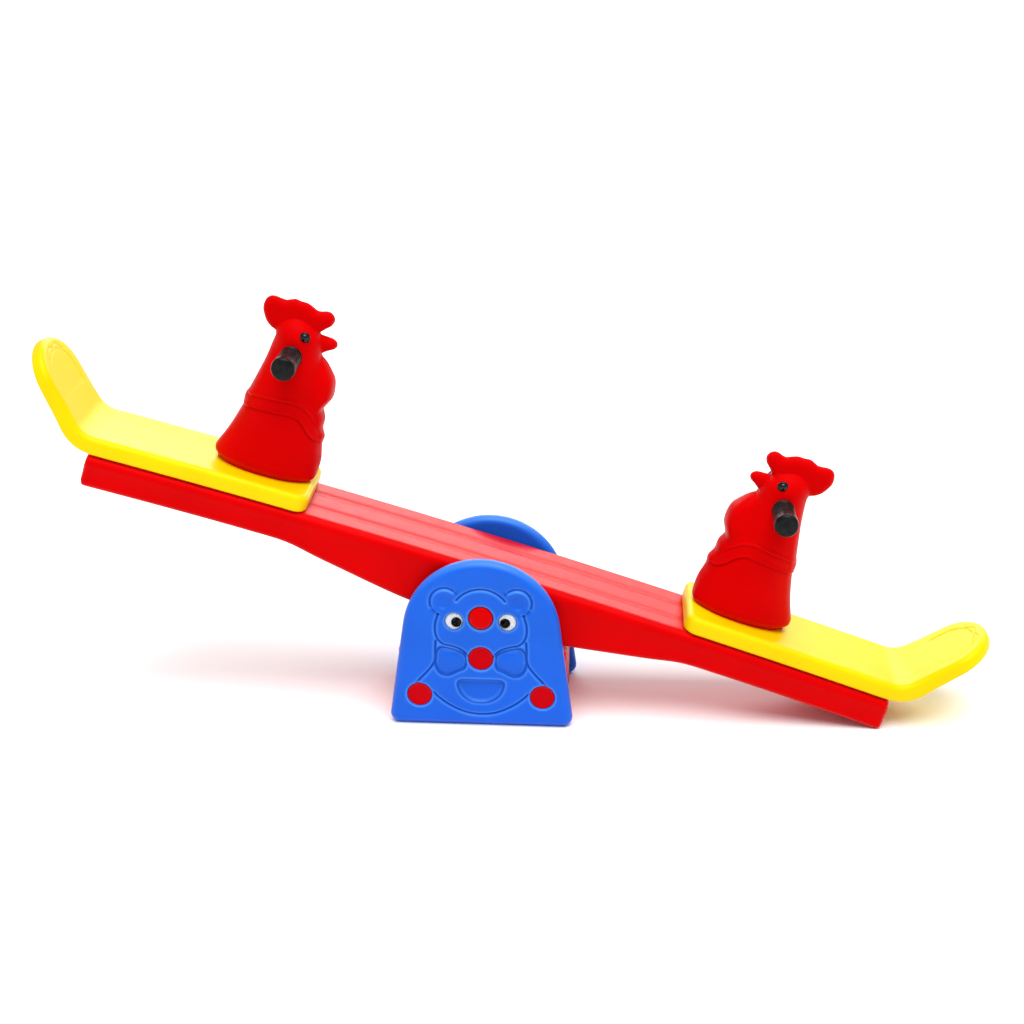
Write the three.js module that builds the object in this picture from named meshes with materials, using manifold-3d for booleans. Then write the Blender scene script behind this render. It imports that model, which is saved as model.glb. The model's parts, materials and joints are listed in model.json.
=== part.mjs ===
// Two-seat plastic seesaw with a bear-face base, two rooster handle posts and a hollow rocking beam.
// Millimetres, +Z up, X along the beam, -Y towards the front panel, origin on the floor under the pivot.
import * as THREE from 'three';
import { mergeVertices } from 'three/addons/utils/BufferGeometryUtils.js';
import Module from 'manifold-3d';

const wasm = await Module();
wasm.setup();

// ---------- driving dimensions ----------
const GAP = 0.3;                 // play between pieces that touch
const WALL = 3.5;                // wall of every hollow moulding
const FACETS = 18;               // sides of a round piece
const INSIDE = 10;               // sides of a round piece that is out of sight

const PIVOT_Z = 219;             // height of the rocking axis
const AXLE_R = 8;
const BUSH_FLANGE = 18;          // radius of the pivot bush's flange

const BEAM_HALF = 778;           // half length of the beam
const BEAM_WIDE = 200;
const BEAM_CROWN = 81;           // top of the beam above the pivot, at the middle
const BEAM_ARCH = 20000;         // radius of the slight arch along the top
const BEAM_END_R = 8;            // rounding of the end corners
const BEAM_END_LOW = 4.5;        // underside at the ends, above the pivot
const BEAM_KINK = [386, 15];     // where the shallow end meets the deeper belly
const BEAM_BELLY = -30;          // underside at the middle
const FLUTE = { y: 34, wide: 20, deep: 1.5, half: 360 };   // shallow grooves along the top

const PANEL_IN = 104;            // inner face of a side panel, from the middle
const PANEL_OUT = 135;           // outer face of a side panel
const PANEL_ROUND = 12;          // rounding round the outer face
const PANEL_LEAN = THREE.MathUtils.degToRad(8);   // flare of the straight sides
const PANEL_ARC_R = 147;         // radius of the round top
const PANEL_ARC_Z = 183;         // height of its centre
const PANEL_CORNER = 18;
const DRAIN_R = 5;               // drain hole in the foot of the panels and of the block

const WELL_R = 23;               // recess for a bolt cap
const WELL_FLOOR = 119;          // floor of the recess, from the middle
const TIE_POINTS = { mid: [0, 138], left: [-115, 62], right: [115, 62] };
const TIE_R = 5;
const AXLE_NUT = 24;             // across flats
const TIE_NUT = 17;
const CAP_FACE = 132.5;          // face of a flat cap, from the middle
const NOSE_FACE = 137;           // top of the domed nose cap

const EYE_AT = [49.5, 212];      // bear's eye centre, to each side and up
const EYE_R = 16;
const EYE_CARD = 1.5;            // thickness of the white card
const EYE_DOME = 8.4;            // height of the clear dome
const EYE_FLOOR = 130;           // floor of the eye recess, from the middle
const PUPIL_R = 9.6;
const PUPIL_ORBIT = 4.8;         // how far the loose pupil lies from the eye's centre
const PUPIL_DROP = THREE.MathUtils.degToRad(22);   // it lies towards the nose, this far below level

const CORE_HALF = 158;           // half width of the red block between the panels
const CORE_TOP = [[158, 138], [147, 145], [60, 163]];
const RIB = { every: 30, wide: 12, deep: 2, tall: 120, count: 6 };   // flutes in its ends

const SEAT_INNER = 367;          // where the seat starts along the beam
const SEAT_THICK = 33;
const SEAT_WIDE = 194;
const SEAT_CORNER = 24;          // plan corners at the inner end
const SEAT_FOLD = 794;           // where seat top and backrest meet
const BACK_ANGLE = THREE.MathUtils.degToRad(47);
const BACK_LONG = 174;           // backrest front face, fold to tip
const BACK_THICK = 25;
const BACK_HALF = 88;            // half width of the backrest
const BACK_TIP_R = 62;

const BAR_AT = [470, 345];       // handlebar axis: along the beam, above the pivot
const BAR_R = 12.7;
const GRIP_IN = 50;              // grip from here ...
const GRIP_OUT = 134;            // ... to its domed end
const GRIP_R = 21;
const HEN_EYE_AT = [456, 384];
const HEN_EYE_R = 10;
const HEN_EYE_SEAT = 32;         // floor of the eye socket, from the middle
const HEN_EYE_STEM = 3;

const SPINE = { low: 19, high: 57, half: 20, long: 700, wall: 2.5 };   // steel tube inside the beam
const SLEEVE = { bore: 11, out: 14 };   // pivot tube, inner and outer radius
const BOLT_R = 4;
const BOLT_HEAD = { r: 7.5, tall: 5.3 };
const SEAT_BOLT = [690, 50];     // along the beam, to each side
const POST_BOLT = [470, 36];

// ---------- materials ----------
const paint = (color, roughness, metalness = 0) =>
  new THREE.MeshStandardMaterial({ color, roughness, metalness });
const RED = paint(0xe00a0a, 0.38);
const YELLOW = paint(0xffe600, 0.4);
const BLUE = paint(0x1d63e8, 0.38);
const CAP_RED = paint(0xc80a12, 0.42);
const RUBBER = paint(0x151515, 0.65);
const STEEL = paint(0xb9bcc0, 0.35, 1);
const NYLON = paint(0xe9e7e0, 0.5);
const WHITE = paint(0xf4f4f2, 0.3);
const CLEAR = paint(0xe8f0f4, 0.06);
const BLACK = paint(0x0a0a0c, 0.25);

// ---------- small helpers ----------
const { sin, cos, PI, hypot, asin, atan2, sqrt } = Math;
const ENDS = { rear: 0, front: PI };      // turn that brings a +Y piece to that face
const SIDES = { left: -1, right: 1 };     // side of the seesaw along X

function solid(geometry) {
  const g = geometry.index ? geometry.toNonIndexed() : geometry.clone();
  for (const name of Object.keys(g.attributes)) {
    if (name !== 'position') g.deleteAttribute(name);
  }
  const merged = mergeVertices(g, 1e-4);
  const vertProperties = new Float32Array(merged.attributes.position.array);
  const triVerts = new Uint32Array(merged.index.array);
  return new wasm.Manifold(new wasm.Mesh({ numProp: 3, vertProperties, triVerts }));
}

function geometryOf(body) {
  const mesh = body.getMesh();
  const g = new THREE.BufferGeometry();
  g.setAttribute('position', new THREE.BufferAttribute(new Float32Array(mesh.vertProperties), 3));
  g.setIndex(new THREE.BufferAttribute(new Uint32Array(mesh.triVerts), 1));
  return g;
}

function cutAll(body, tools) {
  return tools.reduce((left, tool) => left.subtract(tool), body);
}

function addAll(bodies) {
  return bodies.reduce((sum, next) => sum.add(next));
}

// A side outline in X and Z, carried across Y from -width/2 to width/2 with rounded long edges.
function across(shape, width, round = 0, steps = 2, curveSegments = 6) {
  const g = new THREE.ExtrudeGeometry(shape, {
    depth: width - 2 * round, curveSegments, bevelEnabled: round > 0,
    bevelSize: round, bevelThickness: round, bevelOffset: -round, bevelSegments: steps,
  });
  g.translate(0, 0, round - width / 2);
  return g.rotateX(PI / 2);
}

// A round bar along Y from y0 to y1, its axis at x and z.
function barY(radius, y0, y1, x = 0, z = 0, sides = FACETS) {
  return new THREE.CylinderGeometry(radius, radius, y1 - y0, sides).translate(x, (y0 + y1) / 2, z);
}

// A round bar along Z from z0 to z1.
function barZ(radius, z0, z1, x = 0, y = 0, sides = 10) {
  const g = new THREE.CylinderGeometry(radius, radius, z1 - z0, sides).rotateX(PI / 2);
  return g.translate(x, y, (z0 + z1) / 2);
}

// A turned piece: the profile is radius and distance along +Y.
function turned(profile, sides = FACETS) {
  return new THREE.LatheGeometry(profile.map(([r, y]) => new THREE.Vector2(r, y)), sides);
}

const part = new THREE.Group();

function place(parent, name, body, material, turn = 0, at = [0, 0, 0]) {
  const geometry = body.isBufferGeometry ? geometryOf(solid(body)) : geometryOf(body);
  const mesh = new THREE.Mesh(geometry, material);
  mesh.name = name;
  mesh.rotation.z = turn;
  mesh.position.set(...at);
  parent.add(mesh);
}

// ---------- base: side panels ----------
function panelShape(inset = 0) {
  const reach = PANEL_ARC_R + PANEL_ARC_Z * sin(PANEL_LEAN);
  const cornerX = (reach - PANEL_CORNER * (1 + sin(PANEL_LEAN))) / cos(PANEL_LEAN);
  const corner = PANEL_CORNER - inset;
  const s = new THREE.Shape();
  s.moveTo(-cornerX, inset);
  s.lineTo(cornerX, inset);
  for (const turn of [0.25, 0.6, 1]) {
    const a = turn * (PI / 2 + PANEL_LEAN) - PI / 2;
    s.lineTo(cornerX + corner * cos(a), PANEL_CORNER + corner * sin(a));
  }
  s.absarc(0, PANEL_ARC_Z, PANEL_ARC_R - inset, PANEL_LEAN, PI - PANEL_LEAN, false);
  for (const turn of [1, 0.6, 0.25]) {
    const a = turn * (PI / 2 + PANEL_LEAN) - PI / 2;
    s.lineTo(-cornerX - corner * cos(a), PANEL_CORNER + corner * sin(a));
  }
  return s;
}

// The panel stands on the +Y side here; the front one is the same piece turned round.
function panelBody() {
  const thick = PANEL_OUT - PANEL_IN;
  const deep = thick + PANEL_ROUND;
  const block = across(panelShape(), deep, PANEL_ROUND, 2, 9);
  const outer = solid(block.translate(0, PANEL_OUT - deep / 2, 0));
  const behind = new THREE.BoxGeometry(500, 2 * PANEL_ROUND, 800);
  const trim = solid(behind.translate(0, PANEL_IN - PANEL_ROUND, 0));
  const hollowDeep = thick - 2 * WALL;
  const middle = (PANEL_IN + PANEL_OUT) / 2;
  const hollow = solid(across(panelShape(WALL), hollowDeep, 0, 1, 5).translate(0, middle, 0));
  const ties = Object.values(TIE_POINTS).map(([x, z]) => [x, z, TIE_R]);
  const wells = [[0, PIVOT_Z, AXLE_R], ...ties];
  const kept = wells.flatMap(([x, z, r]) => [
    solid(barY(WELL_R + WALL + 1, WELL_FLOOR - WALL, PANEL_OUT, x, z, INSIDE)),
    solid(barY(r + GAP + WALL, PANEL_IN, WELL_FLOOR, x, z, INSIDE)),
  ]);
  const cuts = wells.flatMap(([x, z, r]) => [
    solid(barY(WELL_R, WELL_FLOOR, PANEL_OUT + 5, x, z)),
    solid(barY(r + GAP, PANEL_IN - 5, WELL_FLOOR + 1, x, z, 12)),
  ]);
  for (const side of Object.values(SIDES)) {
    const [x, z] = [side * EYE_AT[0], EYE_AT[1]];
    kept.push(solid(barY(EYE_R + WALL, EYE_FLOOR - WALL, PANEL_OUT, x, z, INSIDE)));
    cuts.push(solid(barY(EYE_R + GAP, EYE_FLOOR, PANEL_OUT + 5, x, z)));
  }
  cuts.push(solid(barZ(DRAIN_R, -5, 10, 0, middle)));
  return cutAll(outer.subtract(trim), [cutAll(hollow, kept), ...cuts]);
}

function addPanels() {
  const body = panelBody();
  place(part, 'rear_panel', body, BLUE);
  place(part, 'front_panel', body, BLUE, PI);
}

// ---------- base: block between the panels ----------
function coreShape(inset = 0) {
  const s = new THREE.Shape();
  s.moveTo(inset - CORE_HALF, inset);
  s.lineTo(CORE_HALF - inset, inset);
  for (const [x, z] of CORE_TOP) s.lineTo(x - inset, z - inset);
  for (const [x, z] of [...CORE_TOP].reverse()) s.lineTo(inset - x, z - inset);
  return s;
}

function addCore() {
  const half = PANEL_IN - GAP;
  const points = Object.values(TIE_POINTS);
  const hollow = solid(across(coreShape(WALL), 2 * (half - WALL)));
  const bosses = points.map(([x, z]) => solid(barY(TIE_R + GAP + WALL, -half, half, x, z, 10)));
  const bores = points.map(([x, z]) => solid(barY(TIE_R + GAP, -half - 1, half + 1, x, z, 12)));
  const flutes = [];
  for (const side of Object.values(SIDES)) {
    for (let i = 0; i < RIB.count; i++) {
      const y = (i - (RIB.count - 1) / 2) * RIB.every;
      const flute = new THREE.BoxGeometry(2 * RIB.deep, RIB.wide, RIB.tall);
      flutes.push(solid(flute.translate(side * CORE_HALF, y, 10 + RIB.tall / 2)));
    }
  }
  const drains = [-60, 60].map((x) => solid(barZ(DRAIN_R, -5, 10, x, 0)));
  const block = solid(across(coreShape(), 2 * half));
  place(part, 'base_core', cutAll(block, [cutAll(hollow, bosses), ...bores, ...flutes, ...drains]), RED);
}

// ---------- base: axle, tie bolts and their nuts ----------
function hexY(acrossFlats, y0, y1, bore = 0) {
  const hex = solid(barY(acrossFlats / sqrt(3), y0, y1, 0, 0, 6));
  return bore ? hex.subtract(solid(barY(bore, y0 - 1, y1 + 1, 0, 0, 12))) : hex;
}

function addBaseFasteners() {
  const seatY = WELL_FLOOR + GAP;
  const pivot = [0, 0, PIVOT_Z];
  const axleEnd = seatY + 13;
  place(part, 'pivot_axle', barY(AXLE_R, -axleEnd, axleEnd), STEEL, 0, pivot);
  const axleNut = hexY(AXLE_NUT, seatY, seatY + 12.5, AXLE_R + GAP);
  place(part, 'axle_nut_rear', axleNut, STEEL, 0, pivot);
  place(part, 'axle_nut_front', axleNut, STEEL, PI, pivot);
  const shank = solid(barY(TIE_R, -seatY - 1, seatY + 9, 0, 0, 12));
  const tieBolt = hexY(TIE_NUT, -seatY - 6.4, -seatY).add(shank);
  const tieNut = hexY(TIE_NUT, seatY, seatY + 8, TIE_R + GAP);
  for (const [name, [x, z]] of Object.entries(TIE_POINTS)) {
    place(part, `tie_bolt_${name}`, tieBolt, STEEL, 0, [x, 0, z]);
    place(part, `tie_nut_${name}`, tieNut, STEEL, 0, [x, 0, z]);
  }
}

// ---------- base: snap-in caps ----------
function addCaps() {
  const r = WELL_R - GAP;
  const skirt = r - 2.5;
  const foot = WELL_FLOOR + GAP;
  const under = CAP_FACE - 1.5;
  const flat = turned([
    [0, under], [skirt, under], [skirt, foot], [r, foot],
    [r, CAP_FACE - 0.8], [r - 0.8, CAP_FACE], [0, CAP_FACE],
  ]);
  const top = NOSE_FACE;
  const dome = turned([
    [0, top - 3.2], [13, top - 3.6], [skirt, top - 6], [skirt, foot], [r, foot],
    [r, top - 5], [r - 2, top - 2.6], [r - 7, top - 0.8], [0, top],
  ]);
  for (const [end, turn] of Object.entries(ENDS)) {
    place(part, `nose_cap_${end}`, dome, CAP_RED, turn, [0, 0, PIVOT_Z]);
    for (const [name, [x, z]] of Object.entries(TIE_POINTS)) {
      place(part, `cap_${name}_${end}`, flat, CAP_RED, turn, [x, 0, z]);
    }
  }
}

// ---------- base: wiggle eyes ----------
function addBearEyes() {
  const back = EYE_FLOOR + GAP;
  const cup = turned([[0, back], [EYE_R, back], [EYE_R, back + EYE_CARD], [0, back + EYE_CARD]]);
  const foot = back + EYE_CARD + GAP;
  const top = foot + EYE_DOME;
  const inner = EYE_R - 1.2;
  const dome = turned([
    [0, top - 1.2], [7, top - 1.8], [12.4, top - 3.8], [inner, foot + 2.2], [inner, foot],
    [EYE_R, foot], [EYE_R, foot + 2.4], [13.4, top - 2.5], [7.6, top - 0.5], [0, top],
  ]);
  const pupil = barY(PUPIL_R, foot + 0.2, foot + 1.8);
  const inwards = PUPIL_ORBIT * cos(PUPIL_DROP);
  const down = PUPIL_ORBIT * sin(PUPIL_DROP);
  for (const [end, turn] of Object.entries(ENDS)) {
    for (const [name, side] of Object.entries(SIDES)) {
      const [x, z] = [side * EYE_AT[0], EYE_AT[1]];
      place(part, `eye_cup_${name}_${end}`, cup, WHITE, turn, [x, 0, z]);
      place(part, `eye_dome_${name}_${end}`, dome, CLEAR, turn, [x, 0, z]);
      place(part, `pupil_${name}_${end}`, pupil, BLACK, turn, [x - side * inwards, 0, z - down]);
    }
  }
}

// ---------- beam ----------
const END_X = BEAM_HALF - BEAM_END_R;
const END_Z = BEAM_END_LOW + BEAM_END_R;
const beamTop = (x) => BEAM_CROWN - x * x / (2 * BEAM_ARCH);
const beamUnder = (x) => {                // lowest point of the underside near a bolt
  const t = (x - BEAM_KINK[0]) / (END_X - BEAM_KINK[0]);
  return BEAM_KINK[1] + (BEAM_END_LOW - BEAM_KINK[1]) * t * t;
};
const seatUnder = (x) => beamTop(x) + GAP;
const seatTop = (x) => seatUnder(x) + SEAT_THICK;

// Angle at which the rounded end corner of the beam just touches the floor.
const REST_TILT = asin((PIVOT_Z - BEAM_END_R) / hypot(END_X, END_Z)) + atan2(END_Z, END_X);

const beam = new THREE.Group();
beam.position.z = PIVOT_Z;
beam.rotation.y = REST_TILT;
part.add(beam);

function beamShape(inset = 0) {
  const r = BEAM_END_R - inset;
  const end = BEAM_HALF - BEAM_END_R;
  const low = BEAM_END_LOW + inset;
  const [kinkX, kinkZ] = [BEAM_KINK[0], BEAM_KINK[1] + inset];
  const belly = BEAM_BELLY + inset;
  const s = new THREE.Shape();
  s.moveTo(-kinkX, kinkZ);
  s.bezierCurveTo(-kinkX + 60, kinkZ - 9, -kinkX + 190, belly, 0, belly);
  s.bezierCurveTo(kinkX - 190, belly, kinkX - 60, kinkZ - 9, kinkX, kinkZ);
  s.quadraticCurveTo(kinkX + 170, kinkZ, end, low);
  const corner = (side, z, from) => {
    for (const turn of [from, from + 45, from + 90]) {
      const a = THREE.MathUtils.degToRad(turn);
      s.lineTo(side * end + r * cos(a), z + r * sin(a));
    }
  };
  corner(1, low + r, -90);
  corner(1, beamTop(end) - BEAM_END_R, 0);
  for (let i = 1; i < 10; i++) {
    const x = end * cos(PI * i / 10);
    s.lineTo(x, beamTop(x) - inset);
  }
  corner(-1, beamTop(end) - BEAM_END_R, 90);
  corner(-1, low + r, 180);
  s.quadraticCurveTo(-kinkX - 170, kinkZ, -kinkX, kinkZ);
  return s;
}

const boltPoints = [];
for (const [x, y] of [SEAT_BOLT, POST_BOLT]) {
  boltPoints.push([x, y], [x, -y], [-x, y], [-x, -y]);
}

function addBeamShell() {
  const hollow = solid(across(beamShape(WALL), BEAM_WIDE - 2 * WALL, 0, 1, 4));
  const bore = solid(barY(BUSH_FLANGE + GAP, -BEAM_WIDE, BEAM_WIDE));
  const boltHoles = boltPoints.map(([x, y]) => solid(barZ(BOLT_R + GAP, -60, 200, x, y)));
  const above = new THREE.Shape();
  const side = beamTop(FLUTE.half) - FLUTE.deep;
  above.moveTo(-FLUTE.half, side);
  above.quadraticCurveTo(0, 2 * (BEAM_CROWN - FLUTE.deep) - side, FLUTE.half, side);
  above.lineTo(FLUTE.half, BEAM_CROWN + 40);
  above.lineTo(-FLUTE.half, BEAM_CROWN + 40);
  const flute = solid(across(above, FLUTE.wide, 0, 1, 6));
  const flutes = [-1, 1].map((way) => flute.translate([0, way * FLUTE.y, 0]));
  const body = solid(across(beamShape(), BEAM_WIDE, BEAM_END_R - 1, 2, 5));
  place(beam, 'beam_shell', cutAll(body, [hollow, bore, ...boltHoles, ...flutes]), RED);
}

function addBeamCore() {
  const { low, high, half, long, wall } = SPINE;
  const tall = high - low;
  const level = (low + high) / 2;
  const box = new THREE.BoxGeometry(2 * long, 2 * half, tall).translate(0, 0, level);
  const inside = new THREE.BoxGeometry(2 * long + 2, 2 * (half - wall), tall - 2 * wall);
  const tunnel = solid(inside.translate(0, 0, level));
  place(beam, 'steel_spine', solid(box).subtract(tunnel), STEEL);
  const reach = BEAM_WIDE / 2 - 6;
  const tube = solid(barY(SLEEVE.out, -reach, reach));
  const pad = solid(new THREE.BoxGeometry(60, 60, 10).translate(0, 0, low - GAP - 5));
  const sleeveBore = solid(barY(SLEEVE.bore, -reach - 1, reach + 1));
  place(beam, 'pivot_sleeve', tube.add(pad).subtract(sleeveBore), STEEL);
  const [bore, fit, start] = [AXLE_R + GAP, SLEEVE.bore - GAP, reach - 24];
  const bush = turned([
    [bore, start], [fit, start], [fit, reach + GAP], [BUSH_FLANGE, reach + GAP],
    [BUSH_FLANGE, PANEL_IN - GAP], [bore, PANEL_IN - GAP], [bore, start],
  ]);
  place(beam, 'pivot_bush_rear', bush, NYLON);
  place(beam, 'pivot_bush_front', bush, NYLON, PI);
}

// ---------- seats ----------
// Side outline of a seat: plate along the beam, fillet, then the leaning backrest.
function seatShape(inset = 0) {
  const lean = [cos(BACK_ANGLE), sin(BACK_ANGLE)];
  const fold = [SEAT_FOLD, seatTop(SEAT_FOLD)];
  const face = (run, depth) => [
    fold[0] + run * lean[0] + depth * lean[1],
    fold[1] + run * lean[1] - depth * lean[0],
  ];
  const thick = BACK_THICK - inset;
  const s = new THREE.Shape();
  s.moveTo(SEAT_INNER + inset, seatUnder(SEAT_INNER) + inset);
  for (const x of [450, 540, 630, 710, 768]) s.lineTo(x, seatUnder(x) + inset);
  const [bx, bz] = face(12, thick);
  s.quadraticCurveTo(800 - inset / 2, seatUnder(800) + inset, bx, bz);
  s.lineTo(...face(BACK_LONG - 14, thick));
  s.quadraticCurveTo(...face(BACK_LONG + 1 - inset, thick), ...face(BACK_LONG - inset, BACK_THICK / 2));
  s.quadraticCurveTo(...face(BACK_LONG + 1 - inset, inset), ...face(BACK_LONG - 14, inset));
  s.lineTo(...face(26, inset));
  s.quadraticCurveTo(...face(0, inset), SEAT_FOLD - 26, seatTop(SEAT_FOLD - 26) - inset);
  for (const x of [700, 620, 530, 450]) s.lineTo(x, seatTop(x) - inset);
  s.lineTo(SEAT_INNER + inset, seatTop(SEAT_INNER) - inset);
  return s;
}

// Outline seen square to the backrest: full width over the plate, then a round-ended tongue.
function tongue(inset = 0) {
  const half = SEAT_WIDE / 2 - inset;
  const narrow = BACK_HALF - inset;
  const r = BACK_TIP_R - inset;
  const end = BACK_LONG - inset;
  const s = new THREE.Shape();
  s.moveTo(-600, -half);
  s.lineTo(-10, -half);
  s.lineTo(60, -narrow - 2);
  s.lineTo(end - BACK_TIP_R, -narrow);
  s.quadraticCurveTo(end - 12, -narrow + 4, end - 4, -r * 0.55);
  s.quadraticCurveTo(end + 3, 0, end - 4, r * 0.55);
  s.quadraticCurveTo(end - 12, narrow - 4, end - BACK_TIP_R, narrow);
  s.lineTo(60, narrow + 2);
  s.lineTo(-10, half);
  s.lineTo(-600, half);
  const g = new THREE.ExtrudeGeometry(s, { depth: 1400, bevelEnabled: false, curveSegments: 6 });
  return solid(g.translate(0, 0, -700).rotateY(-BACK_ANGLE).translate(SEAT_FOLD, 0, seatTop(SEAT_FOLD)));
}

// Plan outline: rounded corners at the inner end.
function seatPlan(inset = 0) {
  const half = SEAT_WIDE / 2 - inset;
  const near = SEAT_INNER + inset;
  const r = SEAT_CORNER - inset;
  const s = new THREE.Shape();
  s.moveTo(1000, -half);
  s.lineTo(1000, half);
  s.absarc(near + r, half - r, r, PI / 2, PI, false);
  s.absarc(near + r, r - half, r, PI, 1.5 * PI, false);
  return solid(new THREE.ExtrudeGeometry(s, { depth: 500, bevelEnabled: false, curveSegments: 5 }));
}

function addSeats() {
  const outer = solid(across(seatShape(), SEAT_WIDE, 9, 1, 3)).intersect(tongue()).intersect(seatPlan());
  const hollow = solid(across(seatShape(WALL), SEAT_WIDE - 2 * WALL, 0, 1, 3))
    .intersect(tongue(WALL)).intersect(seatPlan(WALL));
  const holes = boltPoints.filter(([x]) => x > 0).map(([x, y]) => {
    const top = x === POST_BOLT[0] ? 200 : seatTop(x) - WALL - 1;
    return solid(barZ(BOLT_R + GAP, 0, top, x, y));
  });
  const body = cutAll(outer.subtract(hollow), holes);
  place(beam, 'seat_right', body, YELLOW);
  place(beam, 'seat_left', body, YELLOW, PI);
}

// ---------- rooster posts ----------
// Neck sections: height, front, back and half width.
const NECK = [
  [100, 376, 560, 48], [111, 371, 566, 53], [122, 369, 567, 55], [150, 373, 557, 55], [200, 384, 542, 53],
  [236, 394, 537, 52], [260, 404, 530, 50], [345, 431, 514, 45], [376, 438, 512, 41], [394, 446, 502, 32],
  [404, 462, 486, 12],
];

function neck(inset = 0, levels = NECK) {
  const rows = levels.length - 1;
  const g = new THREE.CylinderGeometry(1, 1, 1, 16, rows);
  const p = g.attributes.position;
  for (let i = 0; i < p.count; i++) {
    const [z, front, back, half] = levels[Math.round((p.getY(i) + 0.5) * rows)];
    const along = (back - front) / 2 - inset;
    const x = (front + back) / 2 + p.getX(i) * along;
    p.setXYZ(i, x, p.getZ(i) * -(half - inset), z);
  }
  return solid(g);
}

// A flat piece of the side outline, its points joined by a smooth closed curve.
function plate(points, thick) {
  const corners = points.map(([x, z]) => new THREE.Vector3(x, z, 0));
  const curve = new THREE.CatmullRomCurve3(corners, true, 'centripetal');
  const line = curve.getPoints(2 * points.length).slice(1);
  const outline = new THREE.Shape(line.map(({ x, y }) => new THREE.Vector2(x, y)));
  return solid(across(outline, thick));
}

const COMB = [
  [462, 376], [508, 366], [525, 376], [541, 393], [547, 411], [540, 429], [526, 434], [512, 432], [498, 438],
  [478, 438.5], [458, 433], [446, 431], [432, 434.5], [420, 430], [415, 419], [424, 403], [440, 390],
];
const COMB_THICK = 25;
const BEAK = [[452, 391], [430, 389], [405, 386], [397, 378], [405, 367], [424, 354], [446, 346]];
const BEAK_THICK = 22;
const WATTLE = [
  [446, 356], [422, 352], [404, 338], [386, 316], [379, 292], [383, 268], [392, 254], [386, 242],
  [383.5, 226], [377, 208], [378, 190], [372.5, 170], [382, 156], [420, 180], [450, 280],
];
const WATTLE_THICK = 26;

function addPosts() {
  const outline = addAll([
    neck(), plate(COMB, COMB_THICK), plate(BEAK, BEAK_THICK), plate(WATTLE, WATTLE_THICK),
  ]);
  const below = new THREE.Shape();
  below.moveTo(300, 0);
  for (const x of [300, 370, 470, 570, 640]) below.lineTo(x, seatTop(x) + GAP);
  below.lineTo(640, 0);
  const underside = solid(across(below, 300));
  const hollow = neck(WALL, NECK.slice(1, -2));
  const bar = solid(barY(BAR_R + GAP, -90, 90, ...BAR_AT));
  const holes = boltPoints.filter(([x]) => x === POST_BOLT[0])
    .map(([x, y]) => solid(barZ(BOLT_R + GAP, 90, 130, x, y)));
  const socket = solid(barY(HEN_EYE_R + GAP, HEN_EYE_SEAT, 60, ...HEN_EYE_AT));
  const stem = solid(barY(HEN_EYE_STEM + GAP, HEN_EYE_SEAT - 7, 60, ...HEN_EYE_AT, 8));
  const sockets = [socket, stem].flatMap((tool) => [tool, tool.mirror([0, 1, 0])]);
  const body = cutAll(outline, [underside, hollow, bar, ...holes, ...sockets]);
  place(beam, 'rooster_right', body, RED);
  place(beam, 'rooster_left', body, RED, PI);
}

// Handlebar tubes through the necks, rubber grips and the roosters' eyes.
function addHandles() {
  const reach = GRIP_OUT - 12;
  const inside = solid(barY(BAR_R - 2, -reach - 1, reach + 1, 0, 0, 12));
  const tube = solid(barY(BAR_R, -reach, reach)).subtract(inside);
  const bore = BAR_R + GAP;
  const grip = turned([
    [0, GRIP_OUT - 8], [bore, GRIP_OUT - 8], [bore, GRIP_IN], [GRIP_R, GRIP_IN],
    [GRIP_R, GRIP_IN + 6], [GRIP_R - 1, GRIP_IN + 9], [GRIP_R, GRIP_OUT - 16], [GRIP_R + 1.5, GRIP_OUT - 13],
    [GRIP_R + 1.5, GRIP_OUT - 7], [GRIP_R - 5, GRIP_OUT - 1.5], [0, GRIP_OUT],
  ]);
  const floor = HEN_EYE_SEAT + GAP;
  const eye = turned([
    [0, floor - 6], [HEN_EYE_STEM, floor - 6], [HEN_EYE_STEM, floor], [HEN_EYE_R, floor],
    [HEN_EYE_R, floor + 4.2], [HEN_EYE_R - 2.5, floor + 7.2], [0, floor + 8.7],
  ], 14);
  for (const [name, side] of Object.entries(SIDES)) {
    const bar = [side * BAR_AT[0], 0, BAR_AT[1]];
    const eyeAt = [side * HEN_EYE_AT[0], 0, HEN_EYE_AT[1]];
    place(beam, `handlebar_${name}`, tube, STEEL, 0, bar);
    for (const [end, turn] of Object.entries(ENDS)) {
      place(beam, `grip_${name}_${end}`, grip, RUBBER, turn, bar);
      place(beam, `rooster_eye_${name}_${end}`, eye, BLACK, turn, eyeAt);
    }
  }
}

// Bolts come up from under the beam: the outer four hold the seats, the inner four the roosters.
function addBeamBolts() {
  const kinds = {
    seat: [SEAT_BOLT, seatTop(SEAT_BOLT[0]) - 12],
    rooster: [POST_BOLT, seatTop(POST_BOLT[0]) + 17],
  };
  for (const [kind, [[x, y], tip]] of Object.entries(kinds)) {
    const under = beamUnder(x) - 1;
    const head = solid(barZ(BOLT_HEAD.r, under - BOLT_HEAD.tall, under, 0, 0, 6));
    const bolt = head.add(solid(barZ(BOLT_R, under - 1, tip)));
    for (const [name, side] of Object.entries(SIDES)) {
      place(beam, `${kind}_bolt_${name}_rear`, bolt, STEEL, 0, [side * x, y, 0]);
      place(beam, `${kind}_bolt_${name}_front`, bolt, STEEL, 0, [side * x, -y, 0]);
    }
  }
}

addPanels();
addCore();
addBaseFasteners();
addCaps();
addBearEyes();
addBeamShell();
addBeamCore();
addSeats();
addPosts();
addHandles();
addBeamBolts();

export default part;
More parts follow.
